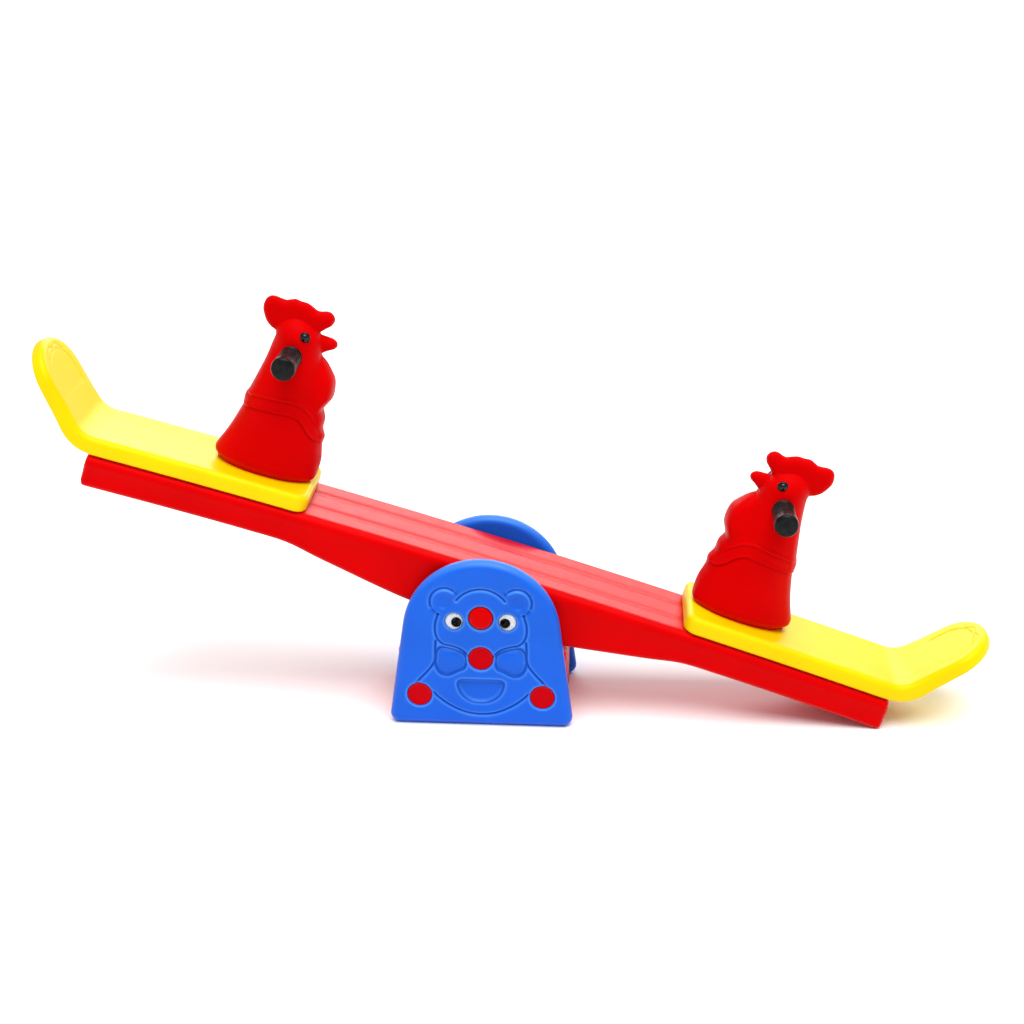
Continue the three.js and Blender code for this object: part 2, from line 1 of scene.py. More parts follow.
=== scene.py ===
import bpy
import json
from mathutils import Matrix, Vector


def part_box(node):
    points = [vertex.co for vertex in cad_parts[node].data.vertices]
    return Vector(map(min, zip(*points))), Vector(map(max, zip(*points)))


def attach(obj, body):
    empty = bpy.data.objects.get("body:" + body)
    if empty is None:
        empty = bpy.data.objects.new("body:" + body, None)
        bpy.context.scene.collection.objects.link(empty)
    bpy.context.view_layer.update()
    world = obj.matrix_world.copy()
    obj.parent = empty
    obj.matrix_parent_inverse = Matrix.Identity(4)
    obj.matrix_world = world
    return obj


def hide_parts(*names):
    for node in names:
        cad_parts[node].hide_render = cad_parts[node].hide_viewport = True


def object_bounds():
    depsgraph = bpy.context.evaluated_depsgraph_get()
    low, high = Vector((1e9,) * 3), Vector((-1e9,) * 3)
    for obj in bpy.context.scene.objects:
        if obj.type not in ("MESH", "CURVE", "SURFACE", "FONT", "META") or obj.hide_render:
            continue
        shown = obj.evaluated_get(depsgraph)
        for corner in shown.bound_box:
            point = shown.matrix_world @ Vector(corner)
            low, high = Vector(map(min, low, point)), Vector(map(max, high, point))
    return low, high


bl_info = {
    "name": "Rooster Seesaw",
    "version": (1, 0, 0),
    "blender": (4, 5, 0),
    "location": "View3D > Sidebar > Seesaw",
    "description": "Builds the visible pieces of a two-seat plastic seesaw round its packed frame",
    "category": "Object",
}

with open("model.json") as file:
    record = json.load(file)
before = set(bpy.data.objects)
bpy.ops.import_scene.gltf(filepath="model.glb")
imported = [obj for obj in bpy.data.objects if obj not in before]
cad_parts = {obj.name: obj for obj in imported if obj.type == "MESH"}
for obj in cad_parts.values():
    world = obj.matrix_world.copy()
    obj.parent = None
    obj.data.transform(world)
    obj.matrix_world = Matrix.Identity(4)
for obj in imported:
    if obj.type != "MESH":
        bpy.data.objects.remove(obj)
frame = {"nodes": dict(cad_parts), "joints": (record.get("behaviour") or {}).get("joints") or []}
CAD_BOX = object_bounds()

import json
import math

import bpy
import numpy as np
from bpy.props import FloatProperty, FloatVectorProperty, PointerProperty
from bpy.types import Operator, Panel, PropertyGroup
from mathutils import Matrix, Vector
from mathutils.geometry import delaunay_2d_cdt

# ------------------------------------------------------------------ places from the frame
MM = 0.001
TILT_JOINT = next(j for j in frame["joints"] if j["name"] == "seesaw_tilt")
PIVOT = np.array(TILT_JOINT["pos_m"])
REST_TILT = math.radians(sum(TILT_JOINT["range_deg"]) / 2)   # the beam rests at one end of its swing

PANEL_LOW, PANEL_HIGH = (np.array(corner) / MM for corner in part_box("rear_panel"))
CORE_HIGH = np.array(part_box("base_core")[1]) / MM
ENDS = {"front": -1, "rear": 1}      # which way a piece faces along Y
SIDES = {"right": 1, "left": -1}     # which end of the beam, along X
RIM_STEPS = (0.3, 1.0, 2.1, 3.6, 5.5, 7.7, 10.2, 13.0, 16.0)   # rows of points inside a rounded rim


def middle(node):
    """Middle of a CAD node's box, in millimetres."""
    low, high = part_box(node)
    return (np.array(low) + np.array(high)) / 2 / MM


# ------------------------------------------------------------------ lines in a plane (millimetres)
def spline(points, per_span, closed):
    """Catmull-Rom curve through the points: a cubic on each span, its slopes half the neighbours' gap."""
    p = np.asarray(points, float)
    if closed:
        p = np.vstack([p[-1], p, p[:2]])
    else:
        p = np.vstack([2 * p[0] - p[1], p, 2 * p[-1] - p[-2]])
    a, b, c, d = (p[i:len(p) - 3 + i, None] for i in range(4))
    t = (np.arange(per_span) / per_span)[None, :, None]
    cubic = 2 * b + (c - a) * t + (2 * a - 5 * b + 4 * c - d) * t**2 + (3 * b - a - 3 * c + d) * t**3
    curve = (cubic / 2).reshape(-1, p.shape[1])
    return curve if closed else np.vstack([curve, points[-1]])


def arc(centre, radius, start, end, count):
    """Points on a circle between two angles in degrees."""
    angle = np.radians(np.linspace(start, end, count))
    return np.asarray(centre) + radius * np.column_stack([np.cos(angle), np.sin(angle)])


def evenly(line, step, closed=False):
    """The same line with points a step apart, by its running length."""
    line = np.vstack([line, line[:1]]) if closed else np.asarray(line, float)
    run = np.concatenate([[0], np.cumsum(np.linalg.norm(np.diff(line, axis=0), axis=1))])
    count = max(3, int(round(run[-1] / step)))
    at = np.linspace(0, run[-1], count + 1)[:count if closed else count + 1]
    return np.column_stack([np.interp(at, run, line[:, k]) for k in range(2)])


def mirrored(line):
    """The line, and its mirror image across the vertical, joined on the left."""
    line = np.asarray(line, float)
    return np.vstack([(line * [-1, 1])[::-1], line])


def beside(line, offset, closed=False):
    """The line moved sideways by the offset, to its left when that is positive."""
    if closed:
        along = np.roll(line, -1, axis=0) - np.roll(line, 1, axis=0)
    else:
        along = np.gradient(line, axis=0)
    across = np.column_stack([-along[:, 1], along[:, 0]])
    return line + offset * across / np.maximum(np.linalg.norm(across, axis=1), 1e-9)[:, None]


def distance(points, line, closed=False):
    """Distance from each point to the nearest straight piece of the line."""
    line = np.vstack([line, line[:1]]) if closed else line
    best = np.full(len(points), np.inf)
    for start, end in zip(line[:-1], line[1:]):
        span = end - start
        along = np.clip((points - start) @ span / max(span @ span, 1e-12), 0, 1)
        gap = points - start - along[:, None] * span
        best = np.minimum(best, np.einsum("ij,ij->i", gap, gap))
    return np.sqrt(best)


def depth_inside(points, loop):
    """Distance to a closed line, positive inside it: the side is the parity of crossings to the right."""
    odd = np.zeros(len(points), bool)
    for (x0, z0), (x1, z1) in zip(loop, np.roll(loop, -1, axis=0)):
        level = (z0 > points[:, 1]) != (z1 > points[:, 1])
        cross = x0 + (points[:, 1] - z0) * (x1 - x0) / (z1 - z0 if z1 != z0 else 1)
        odd ^= level & (points[:, 0] < cross)
    return np.where(odd, 1, -1) * distance(points, loop, closed=True)


def step(low, high, value):
    """Smooth step: 0 below low, 1 above high, the cubic 3t^2 - 2t^3 between."""
    t = np.clip((value - low) / (high - low), 0, 1)
    return t * t * (3 - 2 * t)


def rounding(inset, radius):
    """How far a rounded edge lies below its face: a quarter circle of that radius."""
    t = np.clip(inset / radius, 0, 1)
    return radius * (1 - np.sqrt(np.clip(1 - (1 - t) ** 2, 0, 1)))


def groove(gap, width):
    """Depth of an engraved line, 1 on the line: a bell of that half width."""
    return np.exp(-(gap / width) ** 2)


# ------------------------------------------------------------------ closed meshes
def filled_plan(outline, insets, guides, lattice, spacing):
    """Points and triangles that fill an outline: the outline itself, copies of it moved inwards by the
    insets, the guide lines, and a triangular lattice between them, joined by Delaunay triangles."""
    rim = evenly(outline, spacing, closed=True)
    rows = [beside(rim, inset, closed=True) for inset in insets]
    rows = [row[distance(row, rim, closed=True) > 0.85 * inset] for row, inset in zip(rows, insets)]
    low, high = rim.min(axis=0), rim.max(axis=0)
    x, z = np.meshgrid(np.arange(low[0], high[0], lattice), np.arange(low[1], high[1], lattice * 0.866))
    x = x + lattice / 2 * (np.arange(len(x)) % 2)[:, None]
    grid = np.column_stack([x.ravel(), z.ravel()])
    near = np.vstack(rows + guides) if guides else np.vstack(rows)
    near = near[depth_inside(near, rim) > 0.12]
    cell = np.unique(np.round(near / 0.5), axis=0, return_index=True)[1]
    near = near[np.sort(cell)]
    grid = grid[depth_inside(grid, rim) > max(insets) + 0.4 * lattice]
    taken = {tuple(c) for c in np.unique(np.round(near / (0.8 * lattice)), axis=0)}
    free = np.array([tuple(c) not in taken for c in np.round(grid / (0.8 * lattice))])
    points = np.vstack([rim, near, grid[free]])
    edges = [(i, (i + 1) % len(rim)) for i in range(len(rim))]
    found = delaunay_2d_cdt([Vector(p) for p in points], edges, [], 0, 1e-5, False)
    if len(found[0]) != len(points):
        raise RuntimeError("a plan's points fell together")
    triangles = np.array(found[2])
    return points, triangles[depth_inside(points[triangles].mean(axis=1), rim) > 0], len(rim)


def two_faced(plan, near, far):
    """A closed shell on a plan: one face on the near points, one on the far points, a wall round the rim."""
    _, triangles, rim = plan
    count = len(near)
    i = np.arange(rim)
    j = (i + 1) % rim
    wall = np.vstack([np.column_stack([i, i + count, j + count]), np.column_stack([i, j + count, j])])
    faces = np.vstack([triangles, triangles[:, ::-1] + count, wall])
    return np.vstack([near, far]), faces


def tube_grid(rows):
    """Triangles of a grid whose rows are closed rings: neighbours on a ring and on the next ring."""
    count, ring = rows.shape[:2]
    a = np.arange(count - 1)[:, None] * ring + np.arange(ring)
    b = np.arange(count - 1)[:, None] * ring + (np.arange(ring) + 1) % ring
    faces = np.stack([a, b, b + ring, a, b + ring, a + ring], axis=-1)
    return rows.reshape(-1, 3), faces.reshape(-1, 3)


def closed_ends(rows):
    """Adds a shrinking set of rings to each end of a tube, down to its middle point."""
    shares = np.linspace(0, 1, 6)[:-1, None, None]
    ends = []
    for ring in (rows[0], rows[-1]):
        centre = ring.mean(axis=0)
        ends.append(centre + (ring - centre) * shares)
    return np.concatenate([ends[0], rows, ends[1][::-1]])


def turned(profile, sides):
    """A turned piece round the Y axis: the profile, radius and distance along Y, carried round a circle."""
    profile = np.asarray(profile, float)
    angle = np.linspace(0, 2 * np.pi, sides, endpoint=False)
    radius, along = profile[:, 0][:, None], profile[:, 1][:, None]
    rows = np.stack([radius * np.cos(angle), along + 0 * angle, radius * np.sin(angle)], axis=-1)
    return tube_grid(rows)


def welded(verts, faces):
    """Joins points that fall together, drops faces left with no area and turns the faces outwards."""
    _, first, same = np.unique(np.round(verts, 5), axis=0, return_index=True, return_inverse=True)
    verts, faces = verts[first], same.ravel()[faces]
    a, b, c = faces.T
    faces = faces[(a != b) & (b != c) & (a != c)]
    a, b, c = verts[faces.T]
    if np.einsum("ij,ij->", a, np.cross(b, c)) < 0:
        faces = faces[:, ::-1]
    return verts, faces


def on_beam(points, side=1):
    """From the beam's own millimetres (along, across, up from the pivot) to the tilted place at rest.
    The left end is the right end turned half a turn round the upright."""
    u, y, h = np.asarray(points).T
    u, y = side * u, side * y
    c, s = math.cos(REST_TILT), math.sin(REST_TILT)
    return np.column_stack([u * c + h * s, y, h * c - u * s]) + PIVOT / MM


def facing(points, end):
    """A piece made to face the rear, or the same turned half a turn to face the front."""
    return np.asarray(points) * [end, end, 1]


def add_piece(name, verts, faces, material, slot, body, nodes, crease=38):
    """Puts a mesh in millimetres into the scene, smooth but for edges sharper than the crease angle."""
    verts, faces = welded(verts, faces)
    mesh = bpy.data.meshes.new(name)
    mesh.from_pydata((verts * MM).tolist(), [], faces.tolist())
    mesh.shade_smooth()
    mesh.set_sharp_from_angle(angle=math.radians(crease))
    mesh.materials.append(material)
    piece = bpy.data.objects.new(name, mesh)
    bpy.context.scene.collection.objects.link(piece)
    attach(piece, body)
    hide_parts(*nodes)
    return piece


# ------------------------------------------------------------------ materials
class Finish:
    """A material's node tree with short ways to add nodes."""

    def __init__(self, name):
        self.material = bpy.data.materials.new(name)
        self.material.use_nodes = True
        self.tree = self.material.node_tree
        self.shader = self.tree.nodes["Principled BSDF"]
        self.place = self.tree.nodes.new("ShaderNodeTexCoord").outputs["Object"]

    def node(self, kind, numbers=(), **settings):
        """A new node with its settings and the numbers of its sockets."""
        made = self.tree.nodes.new(kind)
        for key, value in settings.items():
            setattr(made, key, value)
        for socket, number in numbers:
            made.inputs[socket].default_value = number
        return made

    def link(self, start, end):
        self.tree.links.new(start, end)

    def noise(self, scale, detail=3.0, roughness=0.5):
        numbers = (("Scale", scale), ("Detail", detail), ("Roughness", roughness))
        made = self.node("ShaderNodeTexNoise", numbers)
        self.link(self.place, made.inputs["Vector"])
        return made.outputs["Fac"]

    def ramp(self, value, stops):
        made = self.node("ShaderNodeValToRGB")
        for element, (at, colour) in zip(made.color_ramp.elements, stops):
            element.position = at
            element.color = (*colour, 1)
        self.link(value, made.inputs["Fac"])
        return made.outputs["Color"]

    def spread(self, value, low, high, start=0, end=1, **settings):
        """The value carried from start..end to low..high and held there beyond them."""
        numbers = (("From Min", start), ("From Max", end), ("To Min", low), ("To Max", high))
        made = self.node("ShaderNodeMapRange", numbers, **settings)
        self.link(value, made.inputs["Value"])
        return made.outputs["Result"]

    def mix(self, factor, first, second):
        made = self.node("ShaderNodeMix", data_type="RGBA")
        self.link(factor, made.inputs["Factor"])
        for socket, value in ((made.inputs["A"], first), (made.inputs["B"], second)):
            if isinstance(value, tuple):
                socket.default_value = (*value, 1)
            else:
                self.link(value, socket)
        return made.outputs["Result"]

    def pointed(self, start, end):
        """0 at the start and 1 at the end, by how pointed the surface is: 0.5 is flat and more is convex."""
        pointiness = self.node("ShaderNodeNewGeometry").outputs["Pointiness"]
        return self.spread(pointiness, 0, 1, start, end, interpolation_type="SMOOTHSTEP")

    def bump(self, heights):
        """Noise bumps stacked one on another: (scale, detail, strength, depth in metres) each."""
        normal = None
        for scale, detail, strength, deep in heights:
            made = self.node("ShaderNodeBump", (("Strength", strength), ("Distance", deep)))
            self.link(self.noise(scale, detail), made.inputs["Height"])
            if normal:
                self.link(normal, made.inputs["Normal"])
            normal = made.outputs["Normal"]
        if normal:
            self.link(normal, self.shader.inputs["Normal"])

    def finished(self, base, gloss, heights, **values):
        """Gives the shader its colour, roughness, bumps and plain values, and returns the material."""
        self.link(base, self.shader.inputs["Base Color"])
        if gloss:
            self.link(gloss, self.shader.inputs["Roughness"])
        self.bump(heights)
        for key, value in values.items():
            self.shader.inputs[key.replace("_", " ")].default_value = value
        return self.material


def scaled(colour, factor):
    return tuple(min(1.0, channel * factor) for channel in colour)


def moulded_plastic(name, colour, roughness, glint, wear, gloss):
    """Blow-moulded polyethylene: faint clouds in the colour, paler scuffed edges, painted shade in the
    hollows, painted highlights and painted shade from the relief attribute, and a fine pebbled skin. glint
    tints the straight-on gloss, wear is how far the edges turn paler."""
    f = Finish(name)
    base = f.ramp(f.noise(7.0, 4.0, 0.55), [(0.3, scaled(colour, 0.93)), (0.7, scaled(colour, 1.05))])
    paler = tuple(channel + 0.4 * (1 - channel) * shine**2 for channel, shine in zip(colour, glint))
    scuff = f.node("ShaderNodeMath", operation="MULTIPLY")
    f.link(f.pointed(0.515, 0.6), scuff.inputs[0])
    f.link(f.spread(f.noise(60.0, 5.0, 0.6), 0.3 * wear, wear), scuff.inputs[1])
    wear_and_painted_light = f.mix(scuff.outputs["Value"], base, paler)
    relief = f.node("ShaderNodeAttribute", attribute_name="relief").outputs["Fac"]
    # painted highlight: where the relief attribute is positive the colour turns to the pale tone
    wear_and_painted_light = f.mix(f.spread(relief, 0, 0.75), wear_and_painted_light, paler)
    # painted shade: where the relief attribute is negative the colour darkens
    wear_and_painted_light = f.mix(f.spread(relief, 0, 0.7, end=-1), wear_and_painted_light, scaled(colour, 0.3))
    # painted shade in concave hollows and creases, by pointiness
    wear_and_painted_light = f.mix(f.pointed(0.49, 0.4), wear_and_painted_light, scaled(colour, 0.55))
    rough = f.spread(f.noise(35.0, 6.0, 0.65), roughness - 0.05, roughness + 0.07)
    return f.finished(wear_and_painted_light, rough, [(14.0, 2.0, 0.25, 0.0012), (900.0, 2.0, 0.12, 0.00025)],
                      Specular_IOR_Level=gloss, Specular_Tint=(*glint, 1))


def ribbed_rubber(name, colour):
    """Soft black rubber: dusty high spots, a grained skin."""
    f = Finish(name)
    dusty = tuple(channel + 0.012 for channel in colour)
    base = f.ramp(f.noise(90.0, 5.0, 0.6), [(0.35, colour), (0.75, dusty)])
    pale = f.mix(f.pointed(0.52, 0.66), base, (0.03, 0.029, 0.028))
    return f.finished(pale, f.spread(f.noise(120.0, 4.0), 0.22, 0.42),
                      [(220.0, 3.0, 0.35, 0.0006), (1400.0, 2.0, 0.2, 0.0002)],
                      Specular_IOR_Level=0.14, Sheen_Weight=0.02, Sheen_Roughness=0.4)


def plated_steel(name, colour):
    """Zinc-plated steel: cool spangle in the colour and the gloss, fine drawn lines."""
    f = Finish(name)
    spangle = f.node("ShaderNodeTexVoronoi", (("Scale", 260.0),))
    f.link(f.place, spangle.inputs["Vector"])
    base = f.ramp(spangle.outputs["Distance"], [(0.1, scaled(colour, 0.86)), (0.7, scaled(colour, 1.08))])
    return f.finished(base, f.spread(f.noise(150.0, 4.0), 0.26, 0.42), [(700.0, 3.0, 0.12, 0.0002)],
                      Metallic=1.0)


def nylon(name, colour):
    """Natural nylon: milky, slightly cloudy, satin."""
    f = Finish(name)
    base = f.ramp(f.noise(40.0, 3.0), [(0.3, scaled(colour, 0.92)), (0.7, colour)])
    return f.finished(base, f.spread(f.noise(80.0, 3.0), 0.4, 0.52), [(500.0, 2.0, 0.15, 0.0002)], IOR=1.53)


def eye_card(name, colour):
    """The white back of a wiggle eye: chalky with a faint blue-grey cloud."""
    f = Finish(name)
    base = f.ramp(f.noise(120.0, 3.0), [(0.3, (0.78, 0.81, 0.85)), (0.65, colour)])
    return f.finished(base, f.spread(f.noise(300.0, 2.0), 0.3, 0.42), [(800.0, 2.0, 0.1, 0.0001)])


def clear_plastic(name, colour):
    """The clear cover of a wiggle eye: thin, glossy, hardly tinted."""
    f = Finish(name)
    tint = f.ramp(f.noise(60.0, 2.0), [(0.3, colour), (0.7, (1.0, 1.0, 1.0))])
    return f.finished(tint, f.spread(f.noise(200.0, 3.0), 0.02, 0.07), [], Transmission_Weight=1.0, IOR=1.12)


def black_gloss(name, colour, gloss):
    """Black glossy plastic with a faint smoky bloom."""
    f = Finish(name)
    bloom = tuple(channel + 0.006 for channel in colour)
    base = f.ramp(f.noise(150.0, 3.0), [(0.35, colour), (0.75, bloom)])
    return f.finished(base, f.spread(f.noise(260.0, 3.0), 0.08, 0.2), [(400.0, 2.0, 0.08, 0.0002)],
                      Specular_IOR_Level=gloss)


def studio_floor(name, colour):
    """Pale matt floor with hardly any tone in it."""
    f = Finish(name)
    base = f.ramp(f.noise(0.8, 3.0), [(0.3, scaled(colour, 0.985)), (0.7, colour)])
    return f.finished(base, None, [], Roughness=0.9)


# Each kind's maker, its colour (or the name of a colour in the sidebar) and the maker's other values.
FINISHES = {
    "red_plastic": (moulded_plastic, "red", 0.36, (1, 0.02, 0.03), 0.12, 0.4),
    "rooster_plastic": (moulded_plastic, "red", 0.42, (1, 0.02, 0.03), 0.12, 0.1),
    "yellow_plastic": (moulded_plastic, "yellow", 0.38, (1, 0.9, 0.15), 0.12, 0.4),
    "blue_plastic": (moulded_plastic, "blue", 0.36, (0.4, 0.65, 1), 0.6, 0.4),
    "cap_plastic": (moulded_plastic, "cap", 0.34, (1, 0.02, 0.04), 0.12, 0.4),
    "grip_rubber": (ribbed_rubber, "rubber"),
    "zinc_steel": (plated_steel, (0.62, 0.64, 0.67)),
    "nylon": (nylon, (0.82, 0.8, 0.74)),
    "eye_white": (eye_card, (0.92, 0.93, 0.93)),
    "clear_dome": (clear_plastic, (0.95, 0.97, 0.99)),
    "pupil_black": (black_gloss, (0.002, 0.002, 0.003), 0.05),
    "eye_black": (black_gloss, (0.004, 0.003, 0.005), 0.4),
}


def finish_of(kind):
    """The one material of each kind, made when first asked for."""
    name = f"{kind}_finish"
    if name in bpy.data.materials:
        return bpy.data.materials[name]
    maker, colour, *rest = FINISHES[kind]
    if isinstance(colour, str):
        colour = tuple(getattr(bpy.context.scene.seesaw_colours, colour))
    return maker(name, colour, *rest)


# ------------------------------------------------------------------ what a user would change
class SeesawColours(PropertyGroup):
    """Colours of the moulded pieces."""

    red: FloatVectorProperty(
        name="Beam red", description="Red of the beam, roosters and middle block",
        subtype="COLOR", size=3, min=0, max=1, default=(0.64, 0.0008, 0.0012))
    yellow: FloatVectorProperty(
        name="Seat yellow", description="Yellow of both seats",
        subtype="COLOR", size=3, min=0, max=1, default=(0.90, 0.66, 0.0))
    blue: FloatVectorProperty(
        name="Panel blue", description="Blue of both side panels",
        subtype="COLOR", size=3, min=0, max=1, default=(0.006, 0.112, 0.70))
    cap: FloatVectorProperty(
        name="Cap red", description="Red of the snap-in caps",
        subtype="COLOR", size=3, min=0, max=1, default=(0.55, 0.0008, 0.004))
    rubber: FloatVectorProperty(
        name="Grip black", description="Black of the handle grips",
        subtype="COLOR", size=3, min=0, max=1, default=(0.002, 0.0018, 0.0018))
    floor: FloatVectorProperty(
        name="Floor", description="Pale tone of the studio floor",
        subtype="COLOR", size=3, min=0, max=1, default=(0.97, 0.97, 0.97))


class SeesawSizes(PropertyGroup):
    """Sizes of the moulded detail."""

    panel_rim: FloatProperty(
        name="Panel rim", description="Radius of the rounding round a side panel's face",
        subtype="DISTANCE", unit="LENGTH", min=0.004, max=0.024, default=0.0165)
    groove_depth: FloatProperty(
        name="Groove depth", description="Depth of the lines engraved in a side panel",
        subtype="DISTANCE", unit="LENGTH", min=0.0, max=0.005, default=0.0036)
    seat_edge: FloatProperty(
        name="Seat edge", description="Radius of the soft edge round a seat",
        subtype="DISTANCE", unit="LENGTH", min=0.005, max=0.02, default=0.011)
    beam_shoulder: FloatProperty(
        name="Beam shoulder", description="Radius of the long top edges of the beam",
        subtype="DISTANCE", unit="LENGTH", min=0.005, max=0.03, default=0.018)
    comb_thickness: FloatProperty(
        name="Comb thickness", description="Thickness of a rooster's comb, beak and wattle",
        subtype="DISTANCE", unit="LENGTH", min=0.01, max=0.04, default=0.025)
    scarf_ridge: FloatProperty(
        name="Scarf ridge", description="Height of the two ridges along a rooster's scarf",
        subtype="DISTANCE", unit="LENGTH", min=0.0, max=0.006, default=0.0026)


# ------------------------------------------------------------------ stage
class SEESAW_OT_stage(Operator):
    """Floor, lights and camera"""

    bl_idname = "seesaw.stage"
    bl_label = "Stage"

    FLOOR_HALF = 60.0
    WORLD_STRENGTH = 0.4
    SUN_ENERGY = 3.1
    SUN_ANGLE = math.radians(50)
    SUN_WAY = (-0.1, 0.34, -1.0)
    SOFTBOX_AT = (0.2, 4.0, 2.3)                 # behind, for the gloss along the tops
    SOFTBOX_TOWARDS = (0.0, 0.0, 0.3)
    SOFTBOX_SIZE = (5.0, 1.6)
    SOFTBOX_POWER = 110
    AZIMUTH = math.radians(3.533)
    ELEVATION = math.radians(20.002)
    ROLL = math.radians(0.163)
    DISTANCE = 3.5245
    LENS = 66.05
    AIM_BELOW_MIDDLE = (-0.0114, 0.0, -0.0132)   # what the camera looks at, from the middle of the CAD box

    def execute(self, context):
        self.add_floor(context)
        self.add_lights(context)
        self.add_camera(context)
        context.scene.view_settings.view_transform = "Standard"
        return {"FINISHED"}

    def add_floor(self, context):
        half = self.FLOOR_HALF
        corners = [(-half, -half, 0), (half, -half, 0), (half, half, 0), (-half, half, 0)]
        mesh = bpy.data.meshes.new("studio_floor")
        mesh.from_pydata(corners, [], [(0, 1, 2, 3)])
        mesh.materials.append(studio_floor("studio_floor", tuple(context.scene.seesaw_colours.floor)))
        floor = bpy.data.objects.new("studio_floor", mesh)
        context.scene.collection.objects.link(floor)

    def add_lights(self, context):
        world = bpy.data.worlds.new("studio")
        world.use_nodes = True
        world.node_tree.nodes["Background"].inputs["Color"].default_value = (1, 1, 1, 1)
        world.node_tree.nodes["Background"].inputs["Strength"].default_value = self.WORLD_STRENGTH
        context.scene.world = world
        sky = bpy.data.lights.new("sky", "SUN")
        sky.energy = self.SUN_ENERGY
        sky.angle = self.SUN_ANGLE
        self.add_lamp(context, sky, (0, 0, 0), Vector(self.SUN_WAY))
        softbox = bpy.data.lights.new("behind", "AREA")
        softbox.shape = "RECTANGLE"
        softbox.size, softbox.size_y = self.SOFTBOX_SIZE
        softbox.energy = self.SOFTBOX_POWER
        towards = Vector(self.SOFTBOX_TOWARDS) - Vector(self.SOFTBOX_AT)
        self.add_lamp(context, softbox, self.SOFTBOX_AT, towards)

    def add_lamp(self, context, light, at, way):
        lamp = bpy.data.objects.new(light.name, light)
        lamp.location = at
        lamp.rotation_euler = way.to_track_quat("-Z", "Y").to_euler()
        context.scene.collection.objects.link(lamp)

    def add_camera(self, context):
        lens = bpy.data.cameras.new("camera")
        lens.lens = self.LENS
        lens.sensor_width = 36.0
        lens.clip_end = 200.0
        camera = bpy.data.objects.new("camera", lens)
        aim = (Vector(CAD_BOX[0]) + Vector(CAD_BOX[1])) / 2 + Vector(self.AIM_BELOW_MIDDLE)
        away = Vector((
            math.sin(self.AZIMUTH) * math.cos(self.ELEVATION),
            -math.cos(self.AZIMUTH) * math.cos(self.ELEVATION),
            math.sin(self.ELEVATION)))
        camera.location = aim + self.DISTANCE * away
        turn = (-away).to_track_quat("-Z", "Y").to_matrix().to_4x4() @ Matrix.Rotation(self.ROLL, 4, "Z")
        camera.rotation_euler = turn.to_euler()
        context.scene.collection.objects.link(camera)
        context.scene.camera = camera


# ------------------------------------------------------------------ side panels
NOSE = (0.0, PIVOT[2] / MM)
TIES = {name: middle(f"tie_nut_{name}")[[0, 2]] for name in ("mid", "left", "right")}
EYE = middle("eye_cup_right_rear")[[0, 2]]
CAP_WELL = 23.0
EYE_WELL = 16.3
CAP_WELL_FLOOR = 119.0
EYE_WELL_FLOOR = 130.0
WELLS = [(place, CAP_WELL, CAP_WELL_FLOOR) for place in [NOSE, *TIES.values()]]
WELLS += [(EYE * [side, 1], EYE_WELL, EYE_WELL_FLOOR) for side in (-1, 1)]


